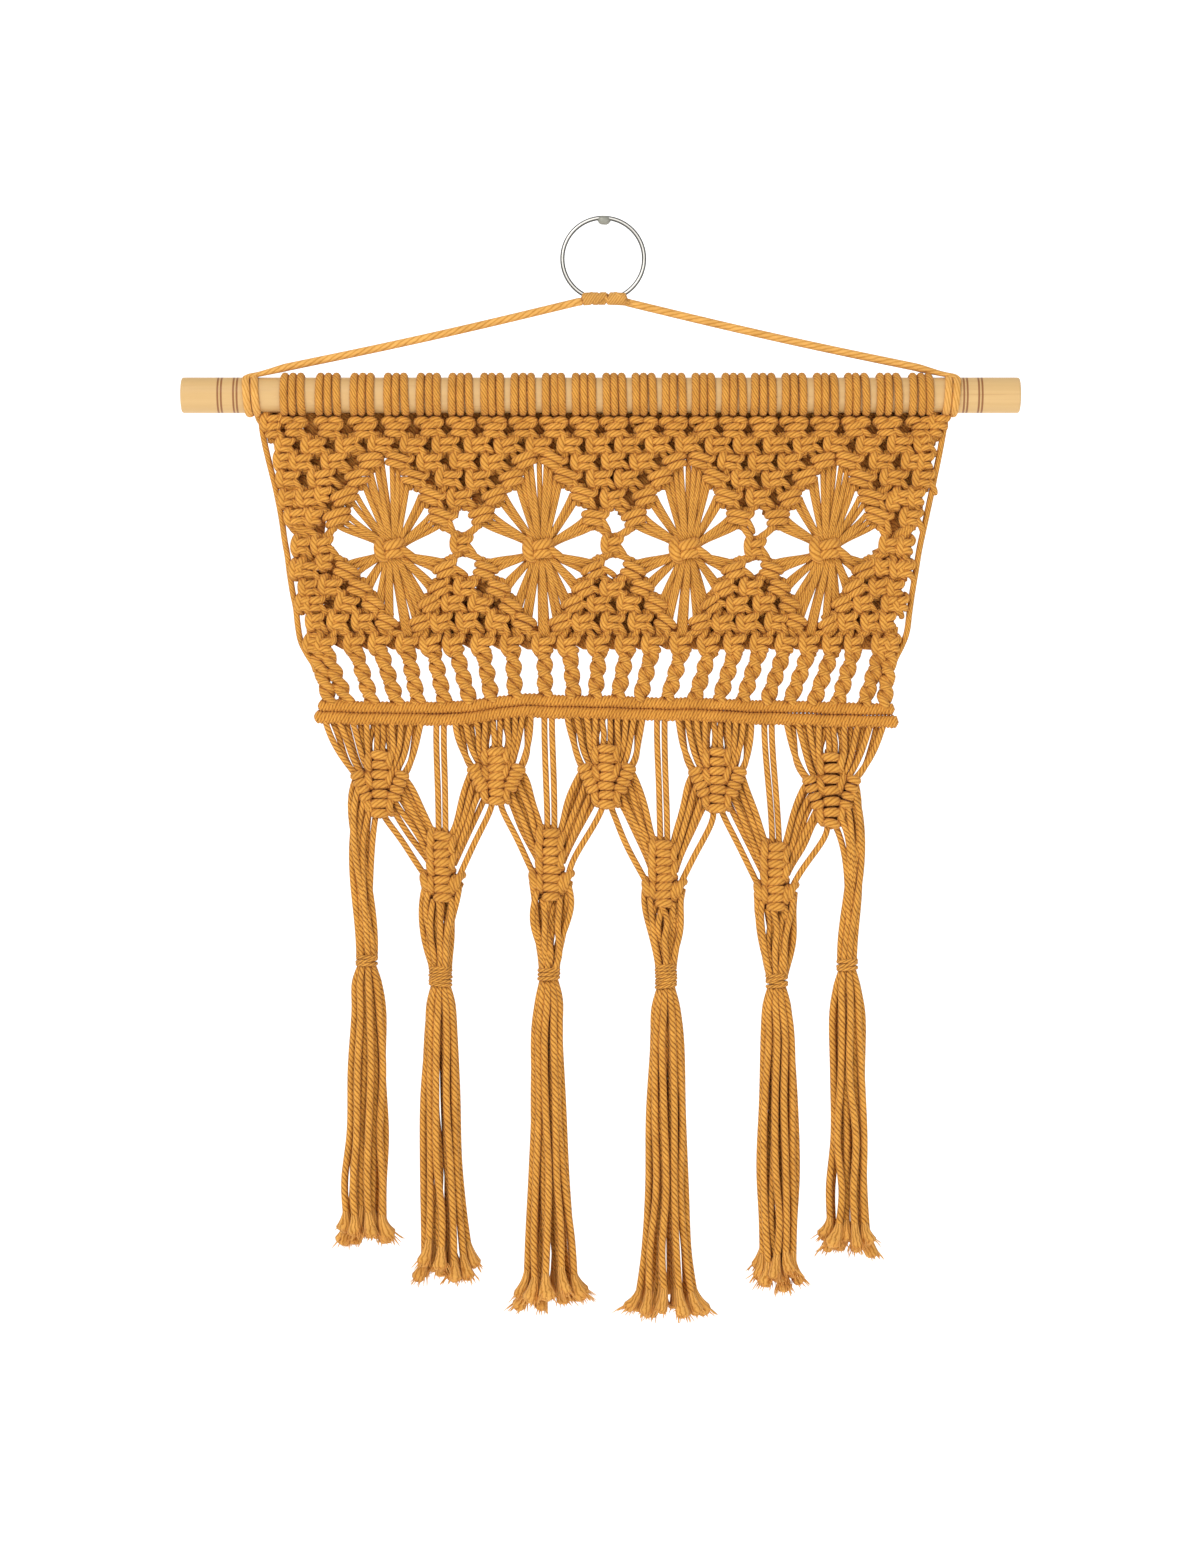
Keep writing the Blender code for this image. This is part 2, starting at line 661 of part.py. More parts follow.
# ---------------------------------------------------------------- bars
def make_bar(name, which, ends, group, material):
    """A ribbed bar: a flat-topped tube along the bar's path, thin and thick by turns."""
    count = BAR_RIBS * 2
    route = []
    for k in range(count + 1):
        x = ends[0] + (ends[1] - ends[0]) * k / count
        share = 1.0 if k % 2 else BAR_VALLEY / BAR_RADIUS
        if k in (0, count):
            share = BAR_END_SHARE
        route.append((Vector((x, 0.0, bar_z(x, which))), share))
    across_corners = 2 * BAR_RADIUS / math.cos(math.pi / BAR_SIDES)
    mesh = tube_mesh(name, [route], across_corners, 1, group)
    return mesh_object(name, mesh, group, material)


# ---------------------------------------------------------------- strands and columns under the bars
def add_column(net, column, halves, name):
    """A column of stacked knots, ridged by turns of thick and thin; returns its rows of points."""
    steps = len(halves) - 1
    rows = []
    for k, half in enumerate(halves):
        z = (column.top_mm + (column.foot_mm - column.top_mm) * k / steps) * MM
        x = column.x_mm * MM
        deep = COLUMN_VALLEY if k % 2 == 0 else COLUMN_RIDGE
        rows.append((net.point((name, k, "left"), x - half * MM, z, STRAND_DEEP),
                     net.point((name, k, "middle"), x, z, deep),
                     net.point((name, k, "right"), x + half * MM, z, STRAND_DEEP)))
    for above, below in zip(rows, rows[1:]):
        net.face(above[0], below[0], below[1], above[1])
        net.face(above[1], below[1], below[2], above[2])
    return rows


def bar_edge(net, x, half, key):
    """The top end of a strand, just under the lower bar."""
    clear = BAR_RADIUS + CLEARANCE
    return tuple(net.point((key, x, side), x + side * half,
                           bar_z(x + side * half, "lower_mm") - clear, STRAND_DEEP)
                 for side in (-1, 1))


def feed_upper_column(net, column, rows):
    """Strands from the bar into a column's top and shoulders, as many from each side."""
    targets = [(rows[3][0], rows[2][0]), (rows[2][0], rows[1][0]), (rows[1][0], rows[0][0]),
               (rows[0][0], rows[0][1]), (rows[0][1], rows[0][2]), (rows[0][2], rows[1][2]),
               (rows[1][2], rows[2][2]), (rows[2][2], rows[3][2])]
    start, end = column.fed_from_mm * MM, column.fed_to_mm * MM
    for k, target in enumerate(targets):
        x = start + (end - start) * (k + 0.5) / len(targets)
        net.strip(bar_edge(net, x, STRAND_HALF_WIDTH, "fed"), target)


def add_tail_strands(net, rims, tassel, tag):
    """The strands that leave a column's lower rim and close up over a tassel's head."""
    count = len(rims)
    head = tassel.head_mm * MM / 2
    top = tassel.top_mm * MM + CLEARANCE
    closing = []
    for level, z in enumerate((top + CLOSING_RISE, top)):
        half = head * CLOSING_SHARES[level]
        closing.append([net.point((tag, level, k), tassel.x_mm * MM - half + 2 * half * k / count,
                                  z, STRAND_DEEP if k in (0, count) else CLOSING_DEEP)
                        for k in range(count + 1)])
    for k in range(count):
        net.face(closing[0][k], closing[1][k], closing[1][k + 1], closing[0][k + 1])
        net.strip(rims[k], (closing[0][k], closing[0][k + 1]))


def make_swag(group, material):
    """Strands under the bars, fused at five upper and four lower columns, down to the tassels."""
    net = Net()
    uppers = [add_column(net, column, UPPER_HALF_MM, ("upper", k))
              for k, column in enumerate(UPPER_COLUMNS)]
    lowers = [add_column(net, column, LOWER_HALF_MM, ("lower", k))
              for k, column in enumerate(LOWER_COLUMNS)]
    for column, rows in zip(UPPER_COLUMNS, uppers):
        feed_upper_column(net, column, rows)
    for column, rows in zip(LOWER_COLUMNS, lowers):
        for side, target in ((-1, rows[0][:2]), (1, rows[0][1:])):
            x = (column.fed_from_mm if side < 0 else column.fed_to_mm) * MM
            net.strip(bar_edge(net, x, STRAND_HALF_WIDTH, "pair"), target)
    for k, rows in enumerate(lowers):
        left, right = uppers[k], uppers[k + 1]
        from_left = [(left[4][2], left[3][2]), (left[6][2], left[5][2]), (left[8][1], left[8][2])]
        to_left = [(rows[1][0], rows[0][0]), (rows[3][0], rows[2][0]), (rows[5][0], rows[4][0])]
        from_right = [(right[3][0], right[4][0]), (right[5][0], right[6][0]), (right[8][0], right[8][1])]
        to_right = [(rows[0][2], rows[1][2]), (rows[2][2], rows[3][2]), (rows[4][2], rows[5][2])]
        for upper, lower in zip(from_left + from_right, to_left + to_right):
            net.strip(upper, lower)
        rims = [(rows[6][0], rows[7][0]), (rows[7][0], rows[8][0]), (rows[8][0], rows[8][1]),
                (rows[8][1], rows[8][2]), (rows[8][2], rows[7][2]), (rows[7][2], rows[6][2])]
        add_tail_strands(net, rims, TASSELS[k + 1], ("closing", k + 1))
    first, last = uppers[0], uppers[-1]
    add_tail_strands(net, [(first[3][0], first[4][0]), (first[5][0], first[6][0]),
                           (first[7][0], first[8][0]), (first[8][0], first[8][1])],
                     TASSELS[0], ("closing", 0))
    add_tail_strands(net, [(last[8][1], last[8][2]), (last[8][2], last[7][2]),
                           (last[6][2], last[5][2]), (last[4][2], last[3][2])],
                     TASSELS[-1], ("closing", 5))
    return net.solid("swag", group, material)


# ---------------------------------------------------------------- tassels
def tassel_head(tassel, holder):
    """The wrapped head: turns of cord as ridges of a turned solid."""
    radius = tassel.head_mm * MM / 2
    top, foot = tassel.top_mm * MM - CLEARANCE, tassel.foot_mm * MM
    turns = max(2, round((top - foot) / TASSEL_TURN))
    profile = [(0.0, top), (radius - TASSEL_RIDGE, top)]
    for k in range(turns):
        profile.append((radius, top - (top - foot) * (k + 0.5) / turns))
        profile.append((radius - TASSEL_RIDGE, top - (top - foot) * (k + 1) / turns))
    profile.append((0.0, foot))
    mesh = turned_mesh("tassel_head", profile, TASSEL_STEPS, False, holder)
    mesh.transform(Matrix.Translation((tassel.x_mm * MM, 0.0, 0.0)))
    return mesh


def tassel_strands(tassel, holder):
    """Strands on an oval round the tassel's middle, apart from each other below the head."""
    routes = []
    head = tassel.head_mm * MM / 2
    foot = tassel.foot_mm * MM
    end = tassel.end_mm * MM
    for k in range(tassel.strands):
        angle = 2 * math.pi * (k + 0.5) / tassel.strands
        across, inward = math.cos(angle), math.sin(angle)
        finish = end + END_UNEVENNESS * math.cos(END_PHASE * k)
        inset = TASSEL_STRAND / 2
        stations = (
            (tassel.x_mm, head * ROOT_REACH, foot + ROOT_RISE, ROOT_SHARE),
            (tassel.mid_x_mm, tassel.mid_half_mm * MM - inset, foot - TASSEL_MIDDLE_DROP, 1.0),
            (tassel.end_x_mm, tassel.end_half_mm * MM - inset, finish, 1.0),
        )
        routes.append([(Vector((x * MM + half * across, half * TASSEL_FLATNESS * inward, z)), share)
                       for x, half, z, share in stations])
    return tube_mesh("tassel_strands", routes, TASSEL_STRAND, 0, holder)


def make_tassel(number, tassel, group, cutters, material):
    """A wrapped head with its strands fused into it."""
    return joined_by_union("tassel_%d" % number, tassel_head(tassel, group),
                           tassel_strands(tassel, group), group, cutters, material)


# ---------------------------------------------------------------- the whole
def main():
    """Builds every piece of the wall hanging."""
    clear_scene()
    group = new_collection(COLLECTION_NAME)
    cutters = new_collection(CUTTER_COLLECTION_NAME)
    cotton = plain_material("mustard_cotton", (0.72, 0.34, 0.075), 0.9)
    wood = plain_material("pale_wood", (0.80, 0.56, 0.30), 0.45)
    steel = plain_material("ring_steel", (0.62, 0.61, 0.58), 0.25, 1.0)

    make_rod(group, wood)
    ring = make_ring(group, steel)
    add_lug(ring, group, cutters, steel)
    make_hanger(group, cotton)
    make_panel(group, cutters, cotton)
    make_bar("bar_upper", "upper_mm", UPPER_BAR_ENDS, group, cotton)
    make_bar("bar_lower", "lower_mm", LOWER_BAR_ENDS, group, cotton)
    make_swag(group, cotton)
    for number, tassel in enumerate(TASSELS, start=1):
        make_tassel(number, tassel, group, cutters, cotton)


main()
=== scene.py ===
"""Macrame wall hanging: twisted mustard cord knotted under a wooden rod, hung from a steel ring.

Sizes here are in millimetres until a mesh is made. X runs along the rod, the front faces -Y and Z is up;
the origin is the inside top of the ring.
"""
import math

import bpy
import numpy as np
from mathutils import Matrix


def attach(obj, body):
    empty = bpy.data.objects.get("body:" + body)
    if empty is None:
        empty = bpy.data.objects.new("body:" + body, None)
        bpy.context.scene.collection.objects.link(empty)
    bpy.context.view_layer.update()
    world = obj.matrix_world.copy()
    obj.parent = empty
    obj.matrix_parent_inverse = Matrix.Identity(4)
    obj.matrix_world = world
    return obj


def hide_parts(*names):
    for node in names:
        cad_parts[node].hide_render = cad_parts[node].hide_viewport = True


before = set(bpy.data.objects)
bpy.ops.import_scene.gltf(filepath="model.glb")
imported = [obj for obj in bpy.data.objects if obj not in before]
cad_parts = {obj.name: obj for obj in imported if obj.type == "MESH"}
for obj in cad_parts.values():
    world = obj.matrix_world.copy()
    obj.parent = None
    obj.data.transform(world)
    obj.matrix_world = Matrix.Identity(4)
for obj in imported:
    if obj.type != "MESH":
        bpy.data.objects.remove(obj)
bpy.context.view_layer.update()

MM = 0.001
random = np.random.default_rng(11)

CORD = 3.0                     # cord diameter; knots below are drawn in cord diameters
RING_RADIUS = 19.0             # middle of the ring's wire
RING_CENTRE = -18.0
ROD_Z, ROD_RADIUS, ROD_LENGTH, ROD_X = -81.5, 8.25, 389.4, -1.2
BURNT_LINES = (-177.8, -170.5, 167.9, 174.8)   # X of each pair of burnt lines on the rod
BURNT_APART = 0.8              # from a pair's middle to either line
HANGER = 3.7                   # the hanger cord's diameter
HANGER_SAG = 0.8               # how far each of its runs hangs below a straight line
HITCH_WIDE, HITCH_AWAY = 18.6, 1.95   # its turns on the ring: their stretch of wire, and how far off it
TURN = 2 * np.pi
DOWN = (0.0, 0.0, -1.0)
WHITE = (1.0, 1.0, 1.0)
BUILT = []                     # each piece's mesh, points and outward directions


# ------------------------ paths and skins
def joined(*values):
    """Values side by side along a new last axis, each stretched to their common shape."""
    return np.stack(np.broadcast_arrays(*values), -1)


def around(sides):
    """Angles of equal steps round a circle."""
    return TURN * np.arange(sides) / sides


def blend_weights(keys, samples):
    """Weights of a smooth curve: each sample is a weighted sum of its four nearest keys (Catmull-Rom)."""
    place = np.linspace(0, keys - 1, samples)
    cell = np.minimum(place.astype(int), keys - 2)
    f = place - cell
    four = ((-f + 2 * f**2 - f**3) / 2, (2 - 5 * f**2 + 3 * f**3) / 2,
            (f + 4 * f**2 - 3 * f**3) / 2, (f**3 - f**2) / 2)
    weights = np.zeros((samples, keys))
    for shift, share in enumerate(four):
        np.add.at(weights, (np.arange(samples), np.clip(cell + shift - 1, 0, keys - 1)), share)
    return weights


def through(keys, samples):
    """Smooth paths (strands, samples, 3) through key points (strands, keys, 3)."""
    keys = np.asarray(keys, float)
    return np.einsum("nk,skc->snc", blend_weights(keys.shape[1], samples), keys)


def bowed(start, start_way, end, end_way, samples, pull=1.0):
    """Strands that leave each start along start_way and come in at end along end_way (cubic Hermite)."""
    start, end = np.asarray(start, float), np.asarray(end, float)
    start_way = np.broadcast_to(np.asarray(start_way, float), start.shape)
    end_way = np.broadcast_to(np.asarray(end_way, float), start.shape)
    t = np.linspace(0, 1, samples)[None, :, None]
    span = pull * np.linalg.norm(end - start, axis=1)[:, None, None]
    return ((2 * t**3 - 3 * t**2 + 1) * start[:, None] + (t**3 - 2 * t**2 + t) * span * start_way[:, None]
            + (3 * t**2 - 2 * t**3) * end[:, None] + (t**3 - t**2) * span * end_way[:, None])


def unit(vectors):
    """Vectors divided by their lengths."""
    return vectors / np.maximum(np.linalg.norm(vectors, axis=-1, keepdims=True), 1e-9)


def reflected(vectors, normals):
    """Vectors mirrored in planes: vector - 2 (normal . vector) normal."""
    return vectors - 2 * np.sum(normals * vectors, -1, keepdims=True) * normals


def spokes(paths, sides):
    """Directions square to each path, at equal angles a: first cos a + second sin a.

    The first direction is carried from point to point by reflecting it twice, so that it doesn't twist,
    and the second is square to it.
    """
    ways = unit(np.gradient(paths, axis=1))
    lead = np.where(np.abs(ways[:, 0, :1]) < 0.7, [[1.0, 0.0, 0.0]], [[0.0, 1.0, 0.0]])
    first = np.empty_like(paths)
    first[:, 0] = unit(np.cross(ways[:, 0], lead))
    for n in range(paths.shape[1] - 1):
        step = unit(paths[:, n + 1] - paths[:, n])
        axis = unit(ways[:, n + 1] - reflected(ways[:, n], step))
        first[:, n + 1] = reflected(reflected(first[:, n], step), axis)
    angle = around(sides)[:, None]
    return first[:, :, None] * np.cos(angle) + np.cross(ways, first)[:, :, None] * np.sin(angle)


def cord_skin(paths, radius, sides=8):
    """Round skins on paths (strands, points, 3): each ring is path + radius x spokes.

    The radius may vary by strand, point and angle. Ends are closed with a low point. The UV runs once
    round the cord in U and in millimetres along it in V.
    """
    paths = np.asarray(paths, float)
    strands, points = paths.shape[:2]
    radius = np.asarray(radius, float)
    radius = radius.reshape(radius.shape + (1,) * max(0, 3 - radius.ndim))
    radius = np.broadcast_to(radius, (strands, points, sides))[..., None]
    out = spokes(paths, sides)
    ways = unit(np.gradient(paths, axis=1))
    low_point = 0.45 * radius.mean(axis=(2, 3))[..., None]
    poles = np.concatenate([paths[:, 0] - ways[:, 0] * low_point[:, 0],
                            paths[:, -1] + ways[:, -1] * low_point[:, -1]])
    index = np.arange(strands * points * sides).reshape(strands, points, sides)
    after = np.roll(index, -1, axis=2)
    quads = joined(index[:, :-1], after[:, :-1], after[:, 1:], index[:, 1:])
    pole = index.size + np.arange(2 * strands).reshape(2, strands, 1)
    caps = np.concatenate([joined(pole[0], after[:, 0], index[:, 0]),
                           joined(pole[1], index[:, -1], after[:, -1])])
    steps = np.linalg.norm(np.diff(paths, axis=1), axis=-1)
    along = np.pad(np.cumsum(steps, axis=1), ((0, 0), (1, 0))) + random.uniform(0, 60, (strands, 1))
    u = np.arange(sides + 1) / sides
    low, high, before, behind = u[:-1], u[1:], along[:, :-1, None], along[:, 1:, None]
    quad_uv = joined(joined(low, high, high, low), joined(before, before, behind, behind))
    cap_uv = np.concatenate([joined(joined(low, high, low), along[:, end, None, None]) for end in (0, -1)])
    return {"points": np.concatenate([(paths[:, :, None] + radius * out).reshape(-1, 3), poles]),
            "outward": np.concatenate([out.reshape(-1, 3), -ways[:, 0], ways[:, -1]]),
            "corners": [quads.reshape(-1, 4), caps.reshape(-1, 3)],
            "uv": [quad_uv.reshape(-1, 4, 2), cap_uv.reshape(-1, 3, 2)]}


def oval(deep, wide, sides=8):
    """Radius of an oval by angle, deep along the first spoke: 1 / sqrt((cos / deep)^2 + (sin / wide)^2)."""
    return 1 / np.sqrt((np.cos(around(sides)) / deep) ** 2 + (np.sin(around(sides)) / wide) ** 2)


def piece(name, skins, material, nodes):
    """One object from several skins, put into its mesh as whole arrays, standing for its CAD nodes."""
    bases = np.cumsum([0] + [len(skin["points"]) for skin in skins])
    faces = [corners + base for skin, base in zip(skins, bases) for corners in skin["corners"]]
    points = np.concatenate([skin["points"] for skin in skins])
    corners = np.concatenate([group.ravel() for group in faces])
    totals = np.concatenate([np.full(len(group), group.shape[1]) for group in faces])
    uvs = np.concatenate([uv.reshape(-1, 2) for skin in skins for uv in skin["uv"]])
    mesh = bpy.data.meshes.new(name)
    mesh.vertices.add(len(points))
    mesh.vertices.foreach_set("co", (points * MM).astype(np.float32).ravel())
    mesh.loops.add(len(corners))
    mesh.loops.foreach_set("vertex_index", corners.astype(np.int32))
    mesh.polygons.add(len(totals))
    mesh.polygons.foreach_set("loop_start", (np.cumsum(totals) - totals).astype(np.int32))
    mesh.polygons.foreach_set("use_smooth", np.ones(len(totals), bool))
    layer = mesh.uv_layers.new(name="along_cord")
    layer.data.foreach_set("uv", uvs.astype(np.float32).ravel())
    mesh.update(calc_edges=True)
    mesh.validate()
    item = bpy.data.objects.new(name, mesh)
    bpy.context.scene.collection.objects.link(item)
    mesh.materials.append(material)
    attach(item, "root")
    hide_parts(*nodes)
    BUILT.append((mesh, points, np.concatenate([skin["outward"] for skin in skins])))
    return item


def shade_crevices(cell=0.9, inside=0.8, outside=1.25):
    """Painted shade in creases: gives every point the share of cells just outside it that hold cord, as the
    attribute crevice_shade.

    Cells are marked at point - inside x outward, the marks are spread to the next cells by (1, 2, 1) / 4
    along each axis twice, and each point reads the cell at point + outside x outward.
    """
    points = np.concatenate([built[1] for built in BUILT])
    outward = np.concatenate([built[2] for built in BUILT])
    low = points.min(0) - 4
    grid = np.zeros(tuple(np.ceil((points.max(0) + 4 - low) / cell).astype(int)), np.float32)
    marked = ((points - inside * outward - low) / cell).astype(int)
    grid[tuple(marked.T)] = 1.0
    for axis in (0, 1, 2, 0, 1, 2):
        grid = (np.roll(grid, 1, axis) + 2 * grid + np.roll(grid, -1, axis)) / 4
    for mesh, own, out in BUILT:
        read = ((own + outside * out - low) / cell).astype(int)
        # the more cord just outside a point, the darker its cotton is painted there, as shade in creases
        # between cords
        value = np.clip((grid[tuple(read.T)] - 0.14) / 0.36, 0, 1)
        mesh.attributes.new("crevice_shade", "FLOAT", "POINT").data.foreach_set("value", value.astype(np.float32))


# ------------------------ materials
class Graph:
    """A material's nodes, joined by short calls."""

    def __init__(self, name):
        self.material = bpy.data.materials.new(name)
        self.material.use_nodes = True
        self.tree = self.material.node_tree
        self.shader = self.tree.nodes["Principled BSDF"]

    def add(self, kind, inputs=(), **settings):
        """A node of a kind, with its inputs linked or set, in order or by name."""
        node = self.tree.nodes.new(kind)
        for key, value in settings.items():
            setattr(node, key, value)
        pairs = inputs.items() if isinstance(inputs, dict) else enumerate(inputs)
        for key, value in pairs:
            self.feed(node.inputs[key], value)
        return node

    def feed(self, socket, value):
        """Links a socket, or sets it to a plain value; a colour of three values is made solid."""
        if isinstance(value, bpy.types.NodeSocket):
            self.tree.links.new(value, socket)
        else:
            socket.default_value = (*value, 1.0) if socket.type == "RGBA" else value

    def maths(self, kind, *values):
        """A Math node's result."""
        return self.add("ShaderNodeMath", values, operation=kind).outputs[0]

    def plus(self, first, *others):
        """A sum of two or more values."""
        for other in others:
            first = self.maths("ADD", first, other)
        return first

    def times(self, first, second):
        """A product."""
        return self.maths("MULTIPLY", first, second)

    def apart(self, first, second):
        """The distance between two values."""
        return self.maths("ABSOLUTE", self.maths("SUBTRACT", first, second))

    def place(self):
        """The object's own coordinates."""
        return self.add("ShaderNodeTexCoord").outputs["Object"]

    def cord_uv(self):
        """U round the cord, and V in millimetres along it."""
        uv = self.add("ShaderNodeUVMap", uv_map="along_cord").outputs[0]
        return self.add("ShaderNodeSeparateXYZ", (uv,)).outputs[:2]

    def noise(self, scale, detail=3.0, rough=0.5, stretch=None):
        """Noise on the object's own coordinates, which may be stretched."""
        vector = self.place()
        if stretch:
            vector = self.add("ShaderNodeMapping", {"Vector": vector, "Scale": stretch}).outputs[0]
        return self.add("ShaderNodeTexNoise", {"Vector": vector, "Scale": scale, "Detail": detail,
                                               "Roughness": rough}).outputs["Fac"]

    def between(self, value, low, high, start=0.0, end=1.0, **settings):
        """A value carried from low and high to start and end."""
        return self.add("ShaderNodeMapRange", (value, low, high, start, end), **settings).outputs[0]

    def ramp(self, value, *stops):
        """A colour for a value, through (place, colour) stops."""
        node = self.add("ShaderNodeValToRGB", (value,))
        band = node.color_ramp.elements
        while len(band) < len(stops):
            band.new(1.0)
        for element, (place, colour) in zip(band, stops):
            element.position = place
            element.color = (*colour, 1.0)
        return node.outputs["Color"]

    def mix(self, share, first, second, kind="MIX"):
        """Two colours mixed."""
        node = self.add("ShaderNodeMix", {0: share, 6: first, 7: second}, data_type="RGBA", blend_type=kind)
        return node.outputs[2]

    def bump(self, height, distance, strength=1.0):
        """Feeds a height into the shader's normal."""
        node = self.add("ShaderNodeBump", {"Height": height, "Distance": distance, "Strength": strength})
        self.feed(self.shader.inputs["Normal"], node.outputs["Normal"])

    def surface(self, **values):
        """Sets or links the shader's own sockets."""
        for name, value in values.items():
            self.feed(self.shader.inputs[name.replace("_", " ")], value)
        return self.material


def twisted_cotton(name, crest, shaded_groove, crease_shade_colour=(0.54, 0.34, 0.16), yarns=6, spacing=2.0, depth=0.4,
                   wander_by=0.5):
    """Cord of twisted yarns: lines where yarns x U + V / spacing is whole, left-handed round the cord, with
    painted shade in the grooves between yarns and in creases between cords.
    """
    g = Graph(name)
    u, v = g.cord_uv()
    wander = g.times(g.maths("SUBTRACT", g.noise(380.0, 2.0), 0.5), wander_by)
    turns = g.plus(g.times(u, float(yarns)), g.maths("DIVIDE", v, spacing))
    ridge = g.maths("ABSOLUTE", g.maths("SINE", g.times(g.plus(turns, wander), math.pi)))
    yarn = g.between(ridge, 0.0, 1.0, interpolation_type="SMOOTHSTEP")
    plies = g.times(g.maths("DIVIDE", turns, yarns / 3.0), TURN)
    lobes = g.maths("MULTIPLY_ADD", g.maths("COSINE", plies), 0.5, 0.5)
    fibre = g.noise(2600.0, 3.0, 0.7)
    height = g.plus(g.times(yarn, 0.8), g.times(fibre, 0.7), g.times(lobes, 0.5))
    # shade: the grooves between yarns and between plies are painted darker as shade, mixed with the cotton's
    # own fibre texture
    shade = g.plus(g.times(yarn, 0.76), g.times(fibre, 0.34), g.times(lobes, 0.10))
    tone = g.ramp(g.noise(130.0), (0.3, (0.84, 0.80, 0.74)), (0.68, WHITE))
    crevice_shade = g.add("ShaderNodeAttribute", attribute_name="crevice_shade").outputs["Fac"]
    colour = g.mix(1.0, g.ramp(shade, (0.20, shaded_groove), (0.86, crest)), tone, "MULTIPLY")
    # painted shade in creases: where crevice_shade is high, the colour is multiplied down towards the colour
    # given for creases
    colour = g.mix(1.0, colour, g.ramp(crevice_shade, (0.0, WHITE), (1.0, crease_shade_colour)), "MULTIPLY")
    g.bump(height, depth * MM)
    return g.surface(Base_Color=colour, Roughness=0.95, Sheen_Weight=0.06, Sheen_Roughness=0.6,
                     Specular_IOR_Level=0.12)


def fine_grained_wood(name):
    """Pale wood with fine grain lines along the rod and two pairs of burnt lines near its ends."""
    g = Graph(name)
    grain = g.noise(1.0, 4.0, 0.6, (9.0, 420.0, 420.0))
    streak = g.noise(1.0, 2.0, 0.5, (4.0, 110.0, 110.0))
    pores = g.ramp(g.noise(1.0, 3.0, 0.7, (22.0, 900.0, 900.0)), (0.60, (0.0, 0.0, 0.0)), (0.72, WHITE))
    colour = g.mix(streak, (0.60, 0.375, 0.145), (0.50, 0.295, 0.10))
    colour = g.mix(g.times(grain, 0.6), colour, (0.74, 0.51, 0.24))
    colour = g.mix(g.times(pores, 0.5), colour, (0.47, 0.26, 0.10))
    x = g.add("ShaderNodeSeparateXYZ", (g.place(),)).outputs[0]
    away = [g.apart(g.apart(x, pair * MM), BURNT_APART * MM) for pair in BURNT_LINES]
    nearest = away[0]
    for line in away[1:]:
        nearest = g.maths("MINIMUM", nearest, line)
    burnt = g.between(nearest, 0.3 * MM, 0.6 * MM, 0.95, 0.0)
    g.bump(g.maths("SUBTRACT", g.times(grain, 0.5), g.times(burnt, 1.2)), 0.12 * MM, 0.5)
    return g.surface(Base_Color=g.mix(burnt, colour, (0.24, 0.085, 0.020)), Roughness=0.48,
                     Specular_IOR_Level=0.45)


def plated_wire(name):
    """Bright plated wire with faint drawing marks, with a painted highlight along its front and painted shade
    at its sides.
    """
    g = Graph(name)
    marks = g.noise(900.0, 3.0, 0.6)
    g.bump(marks, 0.03 * MM, 0.4)
    # painted highlight and shade: by the angle round the wire, the colour is light where it faces the front
    # and dark at its sides
    side = g.maths("ABSOLUTE", g.maths("COSINE", g.times(g.cord_uv()[0], TURN)))
    colour = g.ramp(side, (0.10, (0.95, 0.92, 0.86)), (0.36, (0.30, 0.29, 0.26)),
                    (0.55, (0.07, 0.068, 0.06)))
    return g.surface(Base_Color=colour, Metallic=0.75, Roughness=g.between(marks, 0.0, 1.0, 0.34, 0.46))


def matt_metal(name):
    """Dull grey metal, faintly pitted."""
    g = Graph(name)
    g.bump(g.noise(1500.0, 3.0, 0.6), 0.1 * MM, 0.6)
    return g.surface(Base_Color=(0.30, 0.295, 0.25), Metallic=0.5, Roughness=0.55)


def pale_paper(name):
    """Plain pale backdrop, near white and softly bright."""
    g = Graph(name)
    colour = g.mix(g.noise(3.0, 2.0), (0.93, 0.93, 0.93), (0.95, 0.95, 0.95))
    return g.surface(Base_Color=colour, Roughness=1.0, Emission_Color=WHITE, Emission_Strength=0.45,
                     Specular_IOR_Level=0.0)


# each cotton: the colour of its crests, that of the grooves between yarns, painted darker as shade, and,
# where given, the shade painted in creases between cords
COTTON = twisted_cotton("mustard_twisted_cotton", (0.76, 0.365, 0.066), (0.49, 0.185, 0.022))
STRAIGHT = twisted_cotton("mustard_cotton_hanging_straight", (0.78, 0.37, 0.066), (0.34, 0.115, 0.012),
                          (0.38, 0.21, 0.08), yarns=4, spacing=2.5)
PRESSED = twisted_cotton("mustard_cotton_pressed_flat", (0.70, 0.37, 0.098), (0.50, 0.22, 0.04), yarns=9,
                         spacing=1.3, depth=0.2)
HITCHED = twisted_cotton("mustard_cotton_hitches", (0.72, 0.335, 0.057), (0.42, 0.15, 0.016), spacing=1.4,
                         depth=0.25)
# painted shade: a darker copy of the cotton, with deeper shade in creases, for the cords and skins put behind
# gaps to stand for the shade seen through them
SHADED = twisted_cotton("mustard_cotton_in_shade", (0.72, 0.33, 0.068), (0.45, 0.165, 0.03),
                        (0.36, 0.21, 0.15))
FRAYED = twisted_cotton("mustard_brushed_ends", (0.80, 0.40, 0.09), (0.50, 0.20, 0.028), (0.76, 0.60, 0.42),
                        yarns=9, spacing=30.0, wander_by=1.5)
LOOSE = twisted_cotton("mustard_loose_fibres", (0.84, 0.44, 0.11), (0.74, 0.35, 0.075), (0.90, 0.82, 0.70),
                       depth=0.0)
TAUT = twisted_cotton("mustard_cotton_pulled_taut", (0.80, 0.43, 0.115), (0.60, 0.27, 0.05),
                      (0.50, 0.32, 0.16), yarns=5, spacing=4.5, depth=0.25)
WOOD = fine_grained_wood("pale_fine_grained_wood")
STEEL = plated_wire("plated_wire_painted_highlight")
GREY_METAL = matt_metal("dull_grey_metal")


